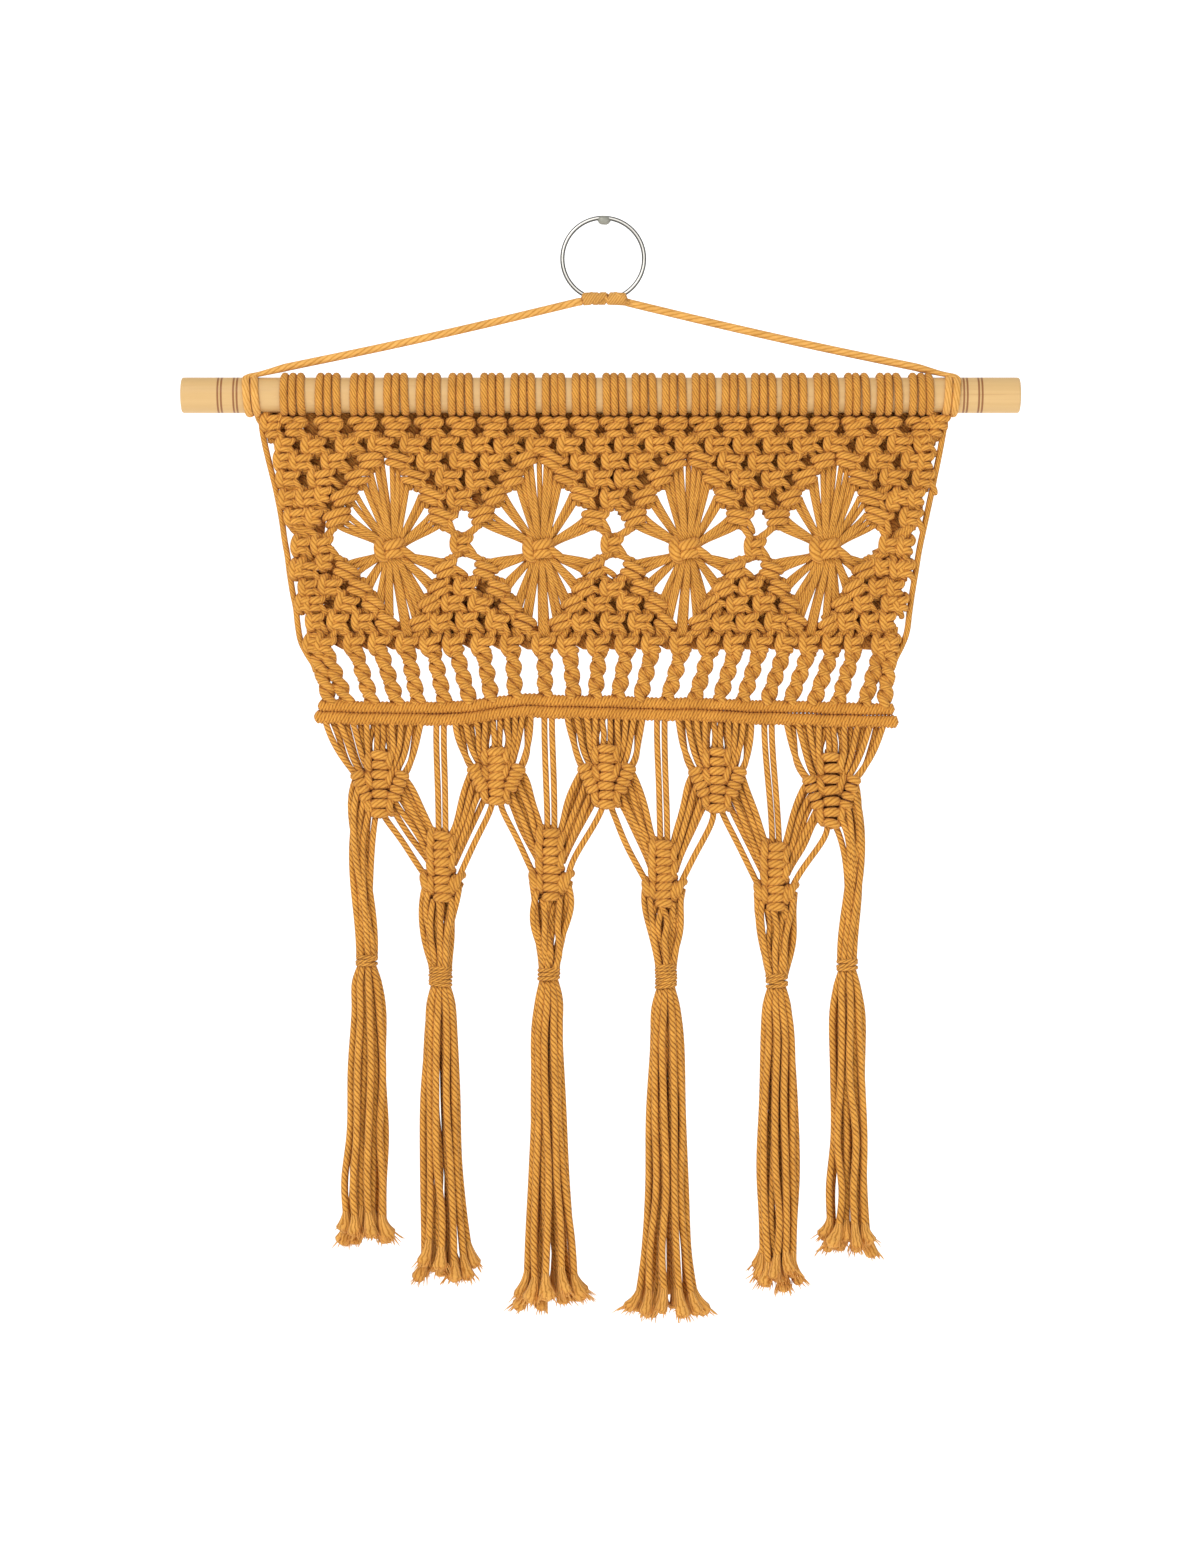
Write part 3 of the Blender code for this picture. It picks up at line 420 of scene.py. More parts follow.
# ------------------------ ring and rod
def ring_wire():
    """The ring: a circle of round wire, with the small lug that closes it at its top."""
    turn = TURN * np.linspace(0, 1, 97)
    circle = joined(RING_RADIUS * np.sin(turn), 0.0, RING_CENTRE + RING_RADIUS * np.cos(turn))
    along = np.linspace(-1, 1, 15)
    lug = joined(0.35 + 2.9 * along, 0.0, -0.1 - 0.3 * along**2 - 0.2 * along)
    fat = 2.1 * np.sqrt(np.maximum(1 - np.abs(along)**3.0, 0.04))
    piece("ring_lug", [cord_skin(lug[None], fat[None], 14)], GREY_METAL, ["ring"])
    piece("ring_wire", [cord_skin(circle[None], 1.0, 16)], STEEL, ["ring"])


def rod_dowel():
    """The rod: a circle carried along X, its radius drawn in over the last millimetre at both ends."""
    half = ROD_LENGTH / 2
    inset = np.array([-0.02, 0.0, 0.12, 0.4, 0.8, 1.6, 6.0])
    radius = ROD_RADIUS - np.array([ROD_RADIUS - 0.2, 0.9, 0.55, 0.2, 0.04, 0.0, 0.0])
    x = np.concatenate([inset - half, np.linspace(8 - half, half - 8, 60), half - inset[::-1]])
    radii = np.concatenate([radius, np.full(60, ROD_RADIUS), radius[::-1]])
    skin = cord_skin(joined(x + ROD_X, 0.0, ROD_Z)[None], radii[None], 72)
    piece("rod_dowel", [skin], WOOD, ["rod"])


# ------------------------ hanger cord
def rod_turns(first_x, step):
    """One and a half turns pressed on the rod, from its top by its front, stepping along it."""
    share = np.linspace(0, 1, 25)
    angle = TURN * 1.5 * share
    radius = ROD_RADIUS + 1.0
    return joined(first_x + step * share, -radius * np.sin(angle), ROD_Z + radius * np.cos(angle))


def hanger_end(turn, side, join):
    """From the rod to the ring: the turns, the rise off the rod, the run, which sags, and the last bend."""
    rise = np.array([[1.8, -4.6, -73.2], [7.6, -2.6, -71.7], [19.0, -1.3, -68.6]]) * (side, 1, 1)
    rising = through(np.concatenate([turn[3:1:-1], rise + (turn[0, 0], 0, 0)])[None], 20)[0]
    way = unit(join - rising[-1])
    quarter = np.linspace(0, np.pi / 2, 7)[:-1, None]
    bend = join - 1.5 * way + 1.5 * (way * np.sin(quarter) - np.array([0, side, 0]) * np.cos(quarter))
    along = (np.arange(1, 40) / 40)[:, None]
    run = rising[-1] + (bend[0] - rising[-1]) * along - np.sin(np.pi * along) * (0, 0, HANGER_SAG)
    return np.concatenate([turn[:3:-1], rising, run, bend])


def hanger():
    """The hanger: tail, turns on the rod, taut run, turns on the ring, run, turns and tail."""
    share = np.linspace(0, 1, 49)
    across = (share - 0.5) * HITCH_WIDE / RING_RADIUS
    angle = TURN * 3 * share + np.pi
    radius = RING_RADIUS - HITCH_AWAY * np.cos(angle) + 1.8 * np.abs(2 * share - 1) ** 6
    hitch = joined(radius * np.sin(across), -HITCH_AWAY * np.sin(angle),
                   RING_CENTRE - radius * np.cos(across))
    left, right = rod_turns(-166.1, 5.7), rod_turns(164.3, -5.4)
    tail = np.array([[3.9, 0.0, -98.6], [3.1, 1.0, -96.6], [1.8, 1.9, -94.4], [0.5, 1.5, -92.6]])
    parts = [tail + (left[-1, 0], 0, 0), hanger_end(left, 1, hitch[0]), hitch,
             hanger_end(right, -1, hitch[-1])[::-1], tail[::-1] * (-1, 1, 1) + (right[-1, 0], 0, 0)]
    route = np.concatenate(parts)
    thick = np.concatenate([np.full(len(part), HANGER / (4 if part is hitch else 2)) for part in parts])
    off_rod = route * (0, 1, 1) - (0, 0, ROD_Z)
    pressed = np.interp(np.linalg.norm(off_rod, axis=1), (9.6, 12.5), (0.58, 1.0))[:, None]
    outward = np.sum(spokes(route[None], 12)[0] * unit(off_rod)[:, None], axis=2) ** 2
    skin = thick[:, None] / np.sqrt(outward / pressed**2 + 1 - outward)
    cord = piece("hanger_twisted_cord", [cord_skin(route[None], skin[None], 12)], TAUT, ["hanger_cord"])
    ring_hitch()


def ring_hitch():
    """The flat hitch on the ring: a sleeve along the ring's lowest arc, with folds pressed into it."""
    arc = np.linspace(-9.9, 10.8, 90)
    lean = np.arcsin(arc / RING_RADIUS)
    sag = -0.12 * RING_RADIUS * (1 - np.cos(lean))
    path = joined(RING_RADIUS * np.sin(lean), 0.0, RING_CENTRE - RING_RADIUS + 0.5 + sag)
    rounded = np.minimum(1, 1.55 - np.abs(np.linspace(-1, 1, 90)) ** 9)[:, None]
    angle = around(24)
    folds = 0.0
    for depth, middle, swing, turned, wide in ((1.0, -0.4, 2.6, 0.6, 0.45), (0.9, 2.0, 0.5, 0.0, 0.42),
                                               (0.5, -3.6, 1.8, 0.4, 0.5)):
        off = arc[:, None] - middle - swing * np.cos(angle - turned)
        folds = folds + depth * np.exp(-((off / wide) ** 2))
    return piece("hanger_hitch_on_ring", [cord_skin(path[None], (2.98 * rounded - folds)[None], 24)],
                 PRESSED, ["hanger_cord"])


# ------------------------ the knotted net
ROW_Z = np.array([-97.7, -104.9, -112.5, -120.4, -129.3, -138.6,
                  -151.6, -162.8, -171.1, -178.6, -186.9, -197.6])
LAST_ROW, LAST_GROUP = 12, 22
WIDEST_ROW = 7                 # where the diamonds are widest
DIAMONDS = (3.5, 8.5, 13.5, 18.5)
STAR_X = (-97.8, -28.9, 39.2, 104.3)
STAR_Z = -153.2
KNOT_PITCH = 13.2              # spacing at which a knot has its full width


def cubic(terms, place):
    """A cubic in (place - 11) / 11."""
    share = (np.asarray(place, float) - 11) / 11
    return sum(term * share**power for power, term in enumerate(terms))


def group_x(place):
    """X of a group of four strands at the rod, drawn in past the first and last loops."""
    inner = np.clip(place, 1, 21)
    return (cubic((4.9, 152.8, -4.0, 9.0), inner) + 9.5 * np.minimum(np.asarray(place) - 1, 0)
            + 7.3 * np.maximum(np.asarray(place) - 21, 0))


def knot_x(row, place):
    """X of a knot: from the rod's spacing at the top row to the drawn-in spacing at the lowest."""
    share = (ROW_Z[np.asarray(row) - 1] - ROW_Z[0]) / (ROW_Z[-1] - ROW_Z[0])
    return group_x(place) * (1 - share) + cubic((4.5, 142.9, -4.8, -11.7), place) * share


def half_width(row):
    """Half a diamond's width at a row, in groups."""
    return 2.5 - abs(row - WIDEST_ROW) / 2


def is_knot(row, place):
    """Whether a row has a knot there: not past the edges, nor inside a diamond."""
    if not 1 <= row <= LAST_ROW or not 0 <= place <= LAST_GROUP:
        return False
    return all(abs(place - middle) >= half_width(row) for middle in DIAMONDS)


# one square knot, in cord diameters: each visible stretch of cord with its radius, key by key
KNOT = {
    "bump": (2.12, ((-.75, .5, 1.5), (-1.0, -.1, 1.25), (-1.28, -.75, .7), (-1.36, -.95, .05),
                    (-1.28, -.8, -.55), (-1.05, -.3, -.95), (-.8, .4, -1.25))),
    "upper": (1.90, ((-.95, .0, .30), (-.7, -.65, .36), (-.3, -1.0, .42), (.15, -1.08, .48),
                     (.55, -1.0, .53), (.85, -.7, .58), (1.1, -.05, .56))),
    "lower": (1.80, ((-.95, .0, -.60), (-.7, -.65, -.58), (-.3, -.95, -.55), (.15, -1.0, -.54),
                     (.5, -.9, -.58), (.8, -.5, -.66), (.95, .1, -.78))),
    "curl": (1.34, ((.95, .55, 1.6), (1.3, .0, 1.3), (1.5, -.55, 1.0), (1.42, -.9, .68),
                    (1.15, -.95, .42), (.85, -.5, .25))),
    "leg": (1.46, ((.7, -.2, .0), (1.0, -.7, -.2), (1.35, -.75, -.6), (1.7, -.55, -1.0),
                   (2.0, -.2, -1.4), (2.2, .3, -1.8))),
    "core": (1.75, ((-.5, .5, 1.6), (-.46, .2, .8), (-.44, .1, .0), (-.46, .2, -.8), (-.5, .5, -1.6))),
    "long_upper": (1.85, ((-2.0, .1, .3), (-1.75, -.55, .42), (-1.2, -1.0, .5), (-.4, -1.1, .5),
                          (.3, -1.05, .5), (.85, -.7, .48), (1.1, .0, .42))),
    "long_lower": (1.8, ((-1.7, .1, -.58), (-1.45, -.6, -.55), (-.85, -.98, -.53), (-.2, -1.05, -.53),
                          (.35, -.95, -.54), (.75, -.6, -.58), (.95, .1, -.66))),
    "rung": (2.0, ((-.56, .3, .0), (-.6, -.4, .0), (-.4, -.95, .03), (.0, -1.1, .04),
                   (.4, -.95, .02), (.6, -.4, -.02), (.56, .3, -.02)))}


class Knots:
    """Square knots: their middles, sizes and leans, and points that ride with each."""

    def __init__(self, x, z, wide, tall, lean, deep=1.0):
        self.middle = joined(x, 0.0, z)
        self.size = np.broadcast_to(joined(wide, deep, tall), self.middle.shape)
        self.lean = np.broadcast_to(lean, self.middle.shape[:1])

    def put(self, local, which=slice(None)):
        """World points for points given in cord diameters: scaled, leaned, then moved."""
        x, y, z = np.moveaxis(np.asarray(local, float) * CORD * self.size[which][:, None], -1, 0)
        cos, sin = np.cos(self.lean[which])[:, None], np.sin(self.lean[which])[:, None]
        return self.middle[which][:, None] + joined(x * cos - z * sin, y, x * sin + z * cos)

    def one(self, index, across, down, depth=0.0):
        """One point of one knot."""
        return self.put([(across, depth, down)], slice(index, index + 1))[0, 0]


def lattice():
    """Every knot of the net: rows, places, numbers by row and place, and the knots themselves."""
    cells = [(row, 0.5 * k) for row in range(1, LAST_ROW + 1) for k in range(1 - row % 2, 45, 2)
             if is_knot(row, 0.5 * k)]
    rows, places = (np.array(values) for values in zip(*cells))
    x, z = knot_x(rows, places), ROW_Z[rows - 1]
    pitch = knot_x(rows, places + 0.5) - knot_x(rows, places - 0.5)
    above = np.sign(WIDEST_ROW - rows)
    lean = np.zeros(len(cells))
    for middle in DIAMONDS:
        near = np.exp((half_width(rows) - np.abs(places - middle)) / 0.8) * (np.abs(rows - WIDEST_ROW) <= 5)
        lean += np.radians(np.where(above < 0, 27, 20)) * near * np.sign(middle - places) * above
    x = x + random.normal(0, 0.4, len(cells))
    z = z + random.normal(0, 0.3, len(cells))
    lean = lean + random.normal(0, np.radians(4.5), len(cells))
    wide = np.clip(pitch / KNOT_PITCH, 0.72, 1.1) * random.normal(1, 0.02, len(cells))
    wide[rows == 1] *= 1.08
    wide[(np.abs(places - 11) >= 9) & (np.abs(rows - 6.5) < 3)] *= 1.14
    x = x - 2.2 * np.exp(-((places - 6) / 1.2) ** 2) * (rows >= 5)
    for middle in DIAMONDS:
        for row, away, shift, narrowed in ((7, 2.5, 0.0, 0.95), (6, 2.0, -1.6, 1.0), (8, 2.0, -1.6, 1.0),
                                           (9, 1.5, 0.6, 0.93), (10, 1.0, 1.6, 0.93), (11, 0.5, 2.9, 0.93)):
            chosen = (rows == row) & (np.abs(places - middle) == away)
            x[chosen] += shift * np.sign(places - middle)[chosen]
            wide[chosen] *= narrowed
    for side, edge in ((1, 0), (-1, LAST_GROUP)):
        slack = (places == edge) & (rows > 1)
        x[slack] += 0.9 * side
        wide[slack] *= 0.85
        tied = (np.abs(places - edge) == 0.5) & (rows > 2)
        x[tied] -= 2.9 * side
        wide[tied] *= 1.12
    knots = Knots(x, z, wide, random.normal(1.1, 0.03, len(cells)), lean)
    return rows, places, {cell: k for k, cell in enumerate(cells)}, knots


def stretches(knots, part, which=slice(None), mirrored=False, thick=1.0, samples=12, sides=9):
    """One visible stretch of cord of each chosen knot, a little thinner at its ends."""
    radius, keys = KNOT[part]
    keys = np.array(keys) * ((-1, 1, 1) if mirrored else (1, 1, 1))
    paths = through(knots.put(keys, which), samples)
    swell = random.normal(1, 0.025, (len(paths), 1))
    taper = 1 - 0.12 * np.abs(np.linspace(-1, 1, samples)) ** 4
    return cord_skin(paths, radius * thick * swell * taper, sides)


# the outermost strands, which hang from the rod past the hanger's tails to the bars: X and Z
LEFT_EDGE = ((-160.0, -90.8), (-159.0, -94.2), (-158.4, -98.6), (-156.8, -106.6), (-154.4, -116.4),
             (-152.6, -123.6), (-150.8, -132.0), (-149.3, -140.4), (-148.1, -149.0), (-146.8, -156.2),
             (-145.9, -163.5), (-144.4, -173.1), (-142.9, -180.4), (-142.1, -187.7), (-140.7, -195.6),
             (-137.8, -201.6), (-134.8, -206.4), (-133.6, -210.0))
RIGHT_EDGE = ((160.0, -90.8), (158.9, -94.0), (158.2, -98.4), (156.3, -108.8), (154.2, -119.0),
              (152.1, -129.3), (149.6, -140.9), (147.0, -153.0), (145.4, -162.8), (143.8, -172.5),
              (142.4, -182.3), (141.2, -191.5), (138.8, -198.0), (135.8, -204.0), (134.2, -209.0))
# small knots beside them: X and Z of two at the rod and five at the net's own edges
EDGE_TIES = ((-153.8, -94.2), (156.2, -94.2), (-134.0, -138.3), (-130.0, -127.9), (-129.0, -159.0),
             (135.5, -131.6), (130.2, -161.8))


def shade_cords_behind(index):
    """Short upright cords in shaded cotton behind the small gaps between four knots, or three at the top and
    foot: painted shade, a dark layer standing for the shade seen through the gaps.
    """
    found = []
    for row in range(1, LAST_ROW + 1):
        for place in np.arange(45) / 2:
            cells = ((row, place - 0.5), (row, place + 0.5), (row - 1, place), (row + 1, place))
            known = sum(cell in index for cell in cells)
            by_junction = row in (WIDEST_ROW - 1, WIDEST_ROW + 1) and place in (6, 11, 16)
            if not by_junction and (known == 4 or (row in (1, LAST_ROW) and known == 3)):
                x = knot_x(row, place)
                top = ROW_Z[max(row - 2, 0)] - 1.0 if row > 1 else ROW_Z[0] + 9.6
                foot = ROW_Z[min(row, LAST_ROW - 1)] + 1.0 if row < LAST_ROW else ROW_Z[-1] - 1.0
                heights = (top, (top + foot) / 2, foot)
                found.append(joined((x - 1.0, x + 0.6, x - 0.6), (3.4, 4.0, 3.4), heights))
    return cord_skin(through(found, 5), oval(1.3, 4.5)[None, None])


def edge_knots():
    """The small knots that tie the outermost strands to the net."""
    tied = ROW_Z[[7, 9, 11]]   # beside the even rows from the eighth
    spots = [joined(np.interp(tied, edge[::-1, 1], edge[::-1, 0]) + 4.4 * side, tied)
             for side, edge in ((1, np.array(LEFT_EDGE)), (-1, np.array(RIGHT_EDGE)))]
    x, z = np.concatenate(spots + [EDGE_TIES]).T
    return Knots(x, z, np.repeat((0.66, 0.9, 0.62), (6, 2, 5)), 1.0, random.normal(0, 0.1, len(x)))


def net_pieces():
    """The net: knots, the strands between them, slack edge strands, and shaded cords behind its gaps that
    paint the shade seen through them.
    """
    rows, places, index, knots = lattice()
    facing = sum(np.sign(middle - places) * (np.abs(places - middle) == half_width(rows))
                 for middle in DIAMONDS)
    facing[(rows <= 2) | (rows == WIDEST_ROW) | (rows == LAST_ROW)] = 0
    plain, star_left, star_right = facing == 0, facing < 0, facing > 0
    onward = np.array([(row + 1, place + 0.5) in index for row, place in index])
    starts, ends, edges = [], [], []
    for (row, place), k in index.items():
        left, right = index.get((row + 1, place - 0.5)), index.get((row + 1, place + 0.5))
        if left is not None:
            starts += [knots.one(k, -0.3, -0.8, -0.3), knots.one(k, -0.8, -1.2, 0.35)]
            ends += [knots.one(left, 1.0, 0.9, -0.1), knots.one(left, 0.5, 0.9, 0.3)]
        if right is not None:
            starts.append(knots.one(k, 0.4, -0.8, -0.2))
            ends.append(knots.one(right, -0.8, 1.0, -0.2))
        if place in (0, LAST_GROUP) and row + 2 <= LAST_ROW:
            start, end = knots.one(k, 0.0, -0.9), knots.one(index[(row + 2, place)], 0.0, 0.9)
            edges.append([start, start * 0.66 + end * 0.34, start * 0.34 + end * 0.66, end])
    legs = bowed(starts, DOWN, ends, DOWN, 9, 0.9)
    shade = shade_cords_behind(index)
    small = edge_knots()
    piece("net_edge_knots", [stretches(small, part) for part in ("bump", "upper", "lower", "curl", "core")],
          COTTON, ["panel"])
    kinds = (("", plain, False), ("long_", star_left, False), ("long_", star_right, True))
    piece("net_knot_bars", [stretches(knots, kind + part, which, turned) for kind, which, turned in kinds
                            for part in ("upper", "lower")], COTTON, ["panel"])
    piece("net_knot_sides", [stretches(knots, "bump", plain & (rows > 1)),
                             stretches(knots, "curl", ~star_right)], COTTON, ["panel"])
    skins = [stretches(knots, "core", mirrored=turned, samples=7) for turned in (False, True)]
    skins += [cord_skin(legs, 1.65), stretches(knots, "leg", onward, samples=10),
              cord_skin(through(edges, 8), 1.4)]
    for edge in (LEFT_EDGE, RIGHT_EDGE):
        x, z = np.array(edge).T
        skins.append(cord_skin(through([joined(x, 0.0, z)], 60), 1.42))
    piece("net_strands", skins, COTTON, ["panel"])
    # painted shade: dark cords in shaded cotton behind the net's gaps
    piece("net_back_shade_cords", [shade], SHADED, ["panel"])
    return index, knots


# one of the two bars under a group on the rod: X from the group's middle, Y, Z and how far Z may stray
ROD_BAR = np.array([(0.2, 0.2, -93.9, 0.0), (0.9, -1.9, -93.5, 0.0), (2.9, -2.9, -93.2, 0.0),
                    (4.6, -2.3, -93.5, 0.1), (5.6, -0.8, -93.9, 0.15), (5.4, 1.4, -94.8, 0.0)])


def rod_loops():
    """Groups of loops on the rod: three cords round it, and two short bars side by side under it."""
    groups = np.arange(LAST_GROUP + 1)
    x = group_x(groups)
    loops, radius = x[1:-1, None], ROD_RADIUS + 1.0
    turn = np.radians(np.linspace(14, 346, 26))
    spread = loops + (-3.6, 0.0, 3.6) + random.normal(0, 0.12, (21, 3))
    lean = random.normal(0, 0.25, (21, 3)) + (-0.1, 0.0, 0.7)
    front = np.clip((turn - np.pi) / (np.pi * 0.85), 0, 1)
    cords = joined(spread.reshape(-1, 1) + lean.reshape(-1, 1) * front, radius * np.sin(turn),
                   ROD_Z - radius * np.cos(turn))
    across, depth, height, stray = ROD_BAR.T
    strays = stray * random.normal(size=(21, 2, 1))
    bars = joined(loops[:, None] + across * [[-1], [1]], depth, height + strays)
    looped = np.repeat((groups > 0) & (groups < LAST_GROUP), 4)
    strand_x = (x[:, None] + CORD * np.array([-1.48, -0.5, 0.5, 1.48])).ravel()
    stubs = joined(strand_x, np.where(looped, 1.6, 5.5), np.where(looped, -90.2, -87.5))
    necks = bowed(stubs, DOWN, joined(strand_x, 0.2, -96.2), DOWN, 6)
    lens = 1.0 + 0.85 * np.sin(np.linspace(0.1, 0.9, 18) * np.pi)[None] ** 0.7
    piece("rod_loops", [cord_skin(cords, oval(1.3, 1.88)[None, None]),
                        cord_skin(through(bars.reshape(42, 6, 3), 18), lens), cord_skin(necks, 1.45)],
          COTTON, ["panel"])


def stars(index, knots):
    """Each diamond's strands, drawn together by one large knot."""
    skins = []
    for middle, x in zip(DIAMONDS, STAR_X):
        for half in (1, -1):
            points = []
            for side in (-1, 1):
                for away in (4, 3, 2, 1):
                    row = WIDEST_ROW - half * away
                    knot = index[(row, middle + side * half_width(row))]
                    inner, outer = (-0.1, -1.15) if away == 4 else (-1.0, -1.85)
                    points += [knots.one(knot, inner * side, -0.7 * half),
                               knots.one(knot, outer * side, -0.3 * half)]
                points.append(knots.one(knot, 0.0, -0.9 * half))
            apex = index[(WIDEST_ROW - 5 * half, middle)]
            at_apex = (0.0,) if half > 0 else (-0.55, 0.0, 0.55)
            points += [knots.one(apex, across, -0.85 * half, 0.1) for across in at_apex]
            begin = np.array(points)
            begin = begin[np.argsort(np.arctan2(begin[:, 0] - x, np.abs(begin[:, 2] - STAR_Z)))]
            share = np.linspace(-1, 1, len(begin))
            depth = -0.6 + 1.8 * np.cos(np.arange(len(begin)) * 2.1)
            gathered = joined(x + 4.4 * np.sin(share * 1.35), depth,
                              STAR_Z + half * (1.2 + 1.6 * np.cos(share * 1.4)))
            way = unit(gathered - begin)
            strands = bowed(begin, unit(way + (0, 0, -0.22 * half)), gathered,
                            unit(way + (0, 0, -0.25 * half)), 14, 0.9)
            skins.append(cord_skin(strands, CORD / 2 * np.linspace(0.88, 0.8, 14)[None]))
    gathers = Knots(STAR_X, STAR_Z, 1.5, 1.3, np.radians([9.0, 8.0, 10.0, 8.0]), 1.3)
    skins += [stretches(gathers, part, thick=1.3, samples=24, sides=12)
              for part in ("bump", "upper", "lower", "leg", "core")]
    piece("diamond_stars", skins, COTTON, ["panel"])


# X of each hanging where it leaves the net and where it reaches the bar
HANGINGS = ((-135.4, -126.8), (-125.7, -118.7), (-114.1, -107.1), (-103.4, -95.4), (-93.6, -85.6),
            (-79.2, -73.3), (-67.1, -61.6), (-56.9, -51.7), (-46.2, -40.9), (-29.9, -26.9), (-11.3, -13.6),
            (-0.6, -3.9), (9.6, 6.5), (20.3, 16.8), (34.3, 29.5), (49.2, 42.2), (62.6, 53.5), (72.9, 64.4),
            (83.6, 75.7), (92.9, 86.4), (103.6, 97.5), (115.7, 108.7), (126.8, 121.0), (134.2, 130.6))
TWIST = 15.4                   # length of a hanging in which its two cords turn once round each other
# the path of both bars: X, and the heights of their middles
BARS = np.array([(-134.0, -226.0, -231.0), (-127.1, -226.2, -231.2), (-82.9, -227.2, -232.3),
                 (-66.6, -226.5, -231.9), (-37.3, -223.2, -228.2), (-4.8, -224.1, -229.2),
                 (49.2, -225.4, -230.4), (74.3, -226.2, -231.7), (128.2, -227.6, -233.2),
                 (136.6, -227.9, -233.6)])
BAR_RADIUS, RIB_PITCH = 3.2, 1.85


def bar_z(x, which):
    """Height of a bar's middle at x: 1 is the upper bar and 2 the lower."""
    return np.interp(x, BARS[:, 0], BARS[:, which])


def hangings(index, knots):
    """Twisted hangings: two fat cords turning round each other, with a small rung between their crossings."""
    top_x, foot_x = np.array(HANGINGS).T
    tops, feet = joined(top_x, 0.0, -193.0), joined(foot_x, 0.0, bar_z(foot_x, 1) + 1.2)
    for k in range(1, len(tops) - 1):
        tops[k] = knots.one(index[(LAST_ROW, k - 0.5)], 0.0, -0.55)
    share = np.linspace(0, 1, 30)
    length = np.linalg.norm(feet - tops, axis=1)
    middle = tops[:, None] * (1 - share)[:, None] + feet[:, None] * share[:, None]
    begin = random.uniform(0, TURN, (len(tops), 1))
    skins = []
    for half_turn in (0.0, np.pi):
        angle = begin + TURN * share * length[:, None] / TWIST + half_turn
        away = 1.85 + 0.15 * np.sin(3 * angle + begin)
        skins.append(cord_skin(middle + joined(away * np.cos(angle), away * np.sin(angle), 0.0), 2.15))
    rungs, lean = [], []
    for k, tall in enumerate(length):
        for n in range(int(2 * tall / TWIST) + 1):
            down = (0.5 * np.pi - begin[k, 0] % np.pi + np.pi * n) / TURN * TWIST / tall
            if 0.08 < down < 0.95:
                rungs.append(tops[k] * (1 - down) + feet[k] * down - (0.4, 0.0, 0.0))
                lean.append(random.normal(0, 0.12))
    x, _, z = np.array(rungs).T
    skins.append(stretches(Knots(x, z, 0.95, 1.0, lean, 0.95), "rung", thick=0.72, sides=7))
    skins.append(cord_skin(middle[:, ::3], 2.0))
    head, root = [], []
    for top, side, edge in ((tops[0], -1, 0), (tops[-1], 1, LAST_GROUP)):
        for across in (1.48, 0.5):
            head.append(knots.one(index[(11, edge)], across * side, -0.9))
            root.append(top + (side * (across - 1.0) * 2.0, 0, -1.5))
    skins.append(cord_skin(bowed(head, DOWN, root, DOWN, 12), CORD / 2 * 0.95))
    piece("twisted_hangings", skins, COTTON, ["panel"])


def hoops(middles, tilts, wide, deep, rise, samples):
    """Turns of cord round an upright core: ovals wide by deep, tilted, rising a little as they go round."""
    angle = np.linspace(0.55 * np.pi, 2.45 * np.pi, samples)
    x = wide * np.cos(angle)
    z = x * np.sin(tilts)[:, None] + rise * (angle - 1.5 * np.pi) / np.pi
    return np.asarray(middles, float)[:, None] + joined(x, deep * np.sin(angle), z)


def ribbed_bars():
    """Both bars: a core wrapped by hitches, radius = R (0.76 + 0.24 |sin(pi ribs)| ^ 0.75), ribs leaning."""
    angle = around(16)
    for name, which, first, last, node in (("upper_bar_hitches", 1, -132.6, 135.4, "bar_upper"),
                                           ("lower_bar_hitches", 2, -134.4, 137.2, "bar_lower")):
        x = np.linspace(first, last, 1180)
        path = joined(x, 0.0, bar_z(x, which) + 0.18 * np.sin(x / 7.0 + which) + 0.1 * np.sin(x / 2.9))
        ribs = x[:, None] / RIB_PITCH + 0.5 * np.sin(angle) + 0.35 * np.sin(x / 11.0)[:, None]
        wave = np.abs(np.sin(np.pi * ribs)) ** 0.75
        tip = np.minimum(x - first, last - x)[:, None]
        round_off = np.sqrt(np.clip(1 - (1 - np.minimum(tip / 2.2, 1)) ** 2, 0.04, 1))
        swell = 1 + 0.04 * np.sin(x / 5.3)[:, None]
        radius = BAR_RADIUS * (0.76 + 0.24 * wave) * round_off * swell
        piece(name, [cord_skin(path[None], radius[None], 16)], HITCHED, [node])


# ------------------------ columns under the bars
# each upper column: X, top, foot, and the stretch of bar that feeds it
UPPER = ((-103.8, -246.9, -278.1, -131.0, -83.0), (-49.7, -245.5, -272.0, -70.5, -32.0),
         (1.6, -244.1, -273.9, -18.5, 20.0), (53.1, -245.5, -275.7, 33.0, 70.5),
         (106.1, -247.4, -283.2, 83.5, 132.0))
# each lower column: X, top, foot, and where its pair leaves the bar
LOWER = ((-74.9, -284.6, -317.1, -75.8), (-24.3, -283.2, -316.7, -25.6), (28.2, -288.8, -319.5, 26.8),
         (80.2, -289.7, -321.3, 76.6))
# each tassel: X, head's top and foot, head's width, turns, cords, then middle and end X and half widths, end
TASSELS = ((-109.9, -341.8, -346.7, 10.2, 3, 12, -109.2, 9.8, -110.5, 12.6, -477.5),
           (-75.6, -346.9, -356.1, 10.9, 6, 14, -75.6, 9.5, -73.6, 14.4, -492.5),
           (-25.3, -347.8, -353.3, 10.4, 3, 14, -25.9, 9.0, -24.4, 15.4, -505.5),
           (29.2, -346.0, -356.9, 10.2, 7, 14, 29.6, 9.6, 29.6, 16.6, -511.5),
           (80.7, -350.4, -356.7, 10.3, 4, 14, 81.2, 9.4, 81.6, 11.2, -495.0),
           (113.5, -343.6, -348.8, 9.9, 3, 12, 113.6, 9.2, 114.2, 12.6, -481.0))
# heights of column that the tables below are measured on; they are stretched to each column's own height
UPPER_TALL, LOWER_TALL = 28.0, 32.0
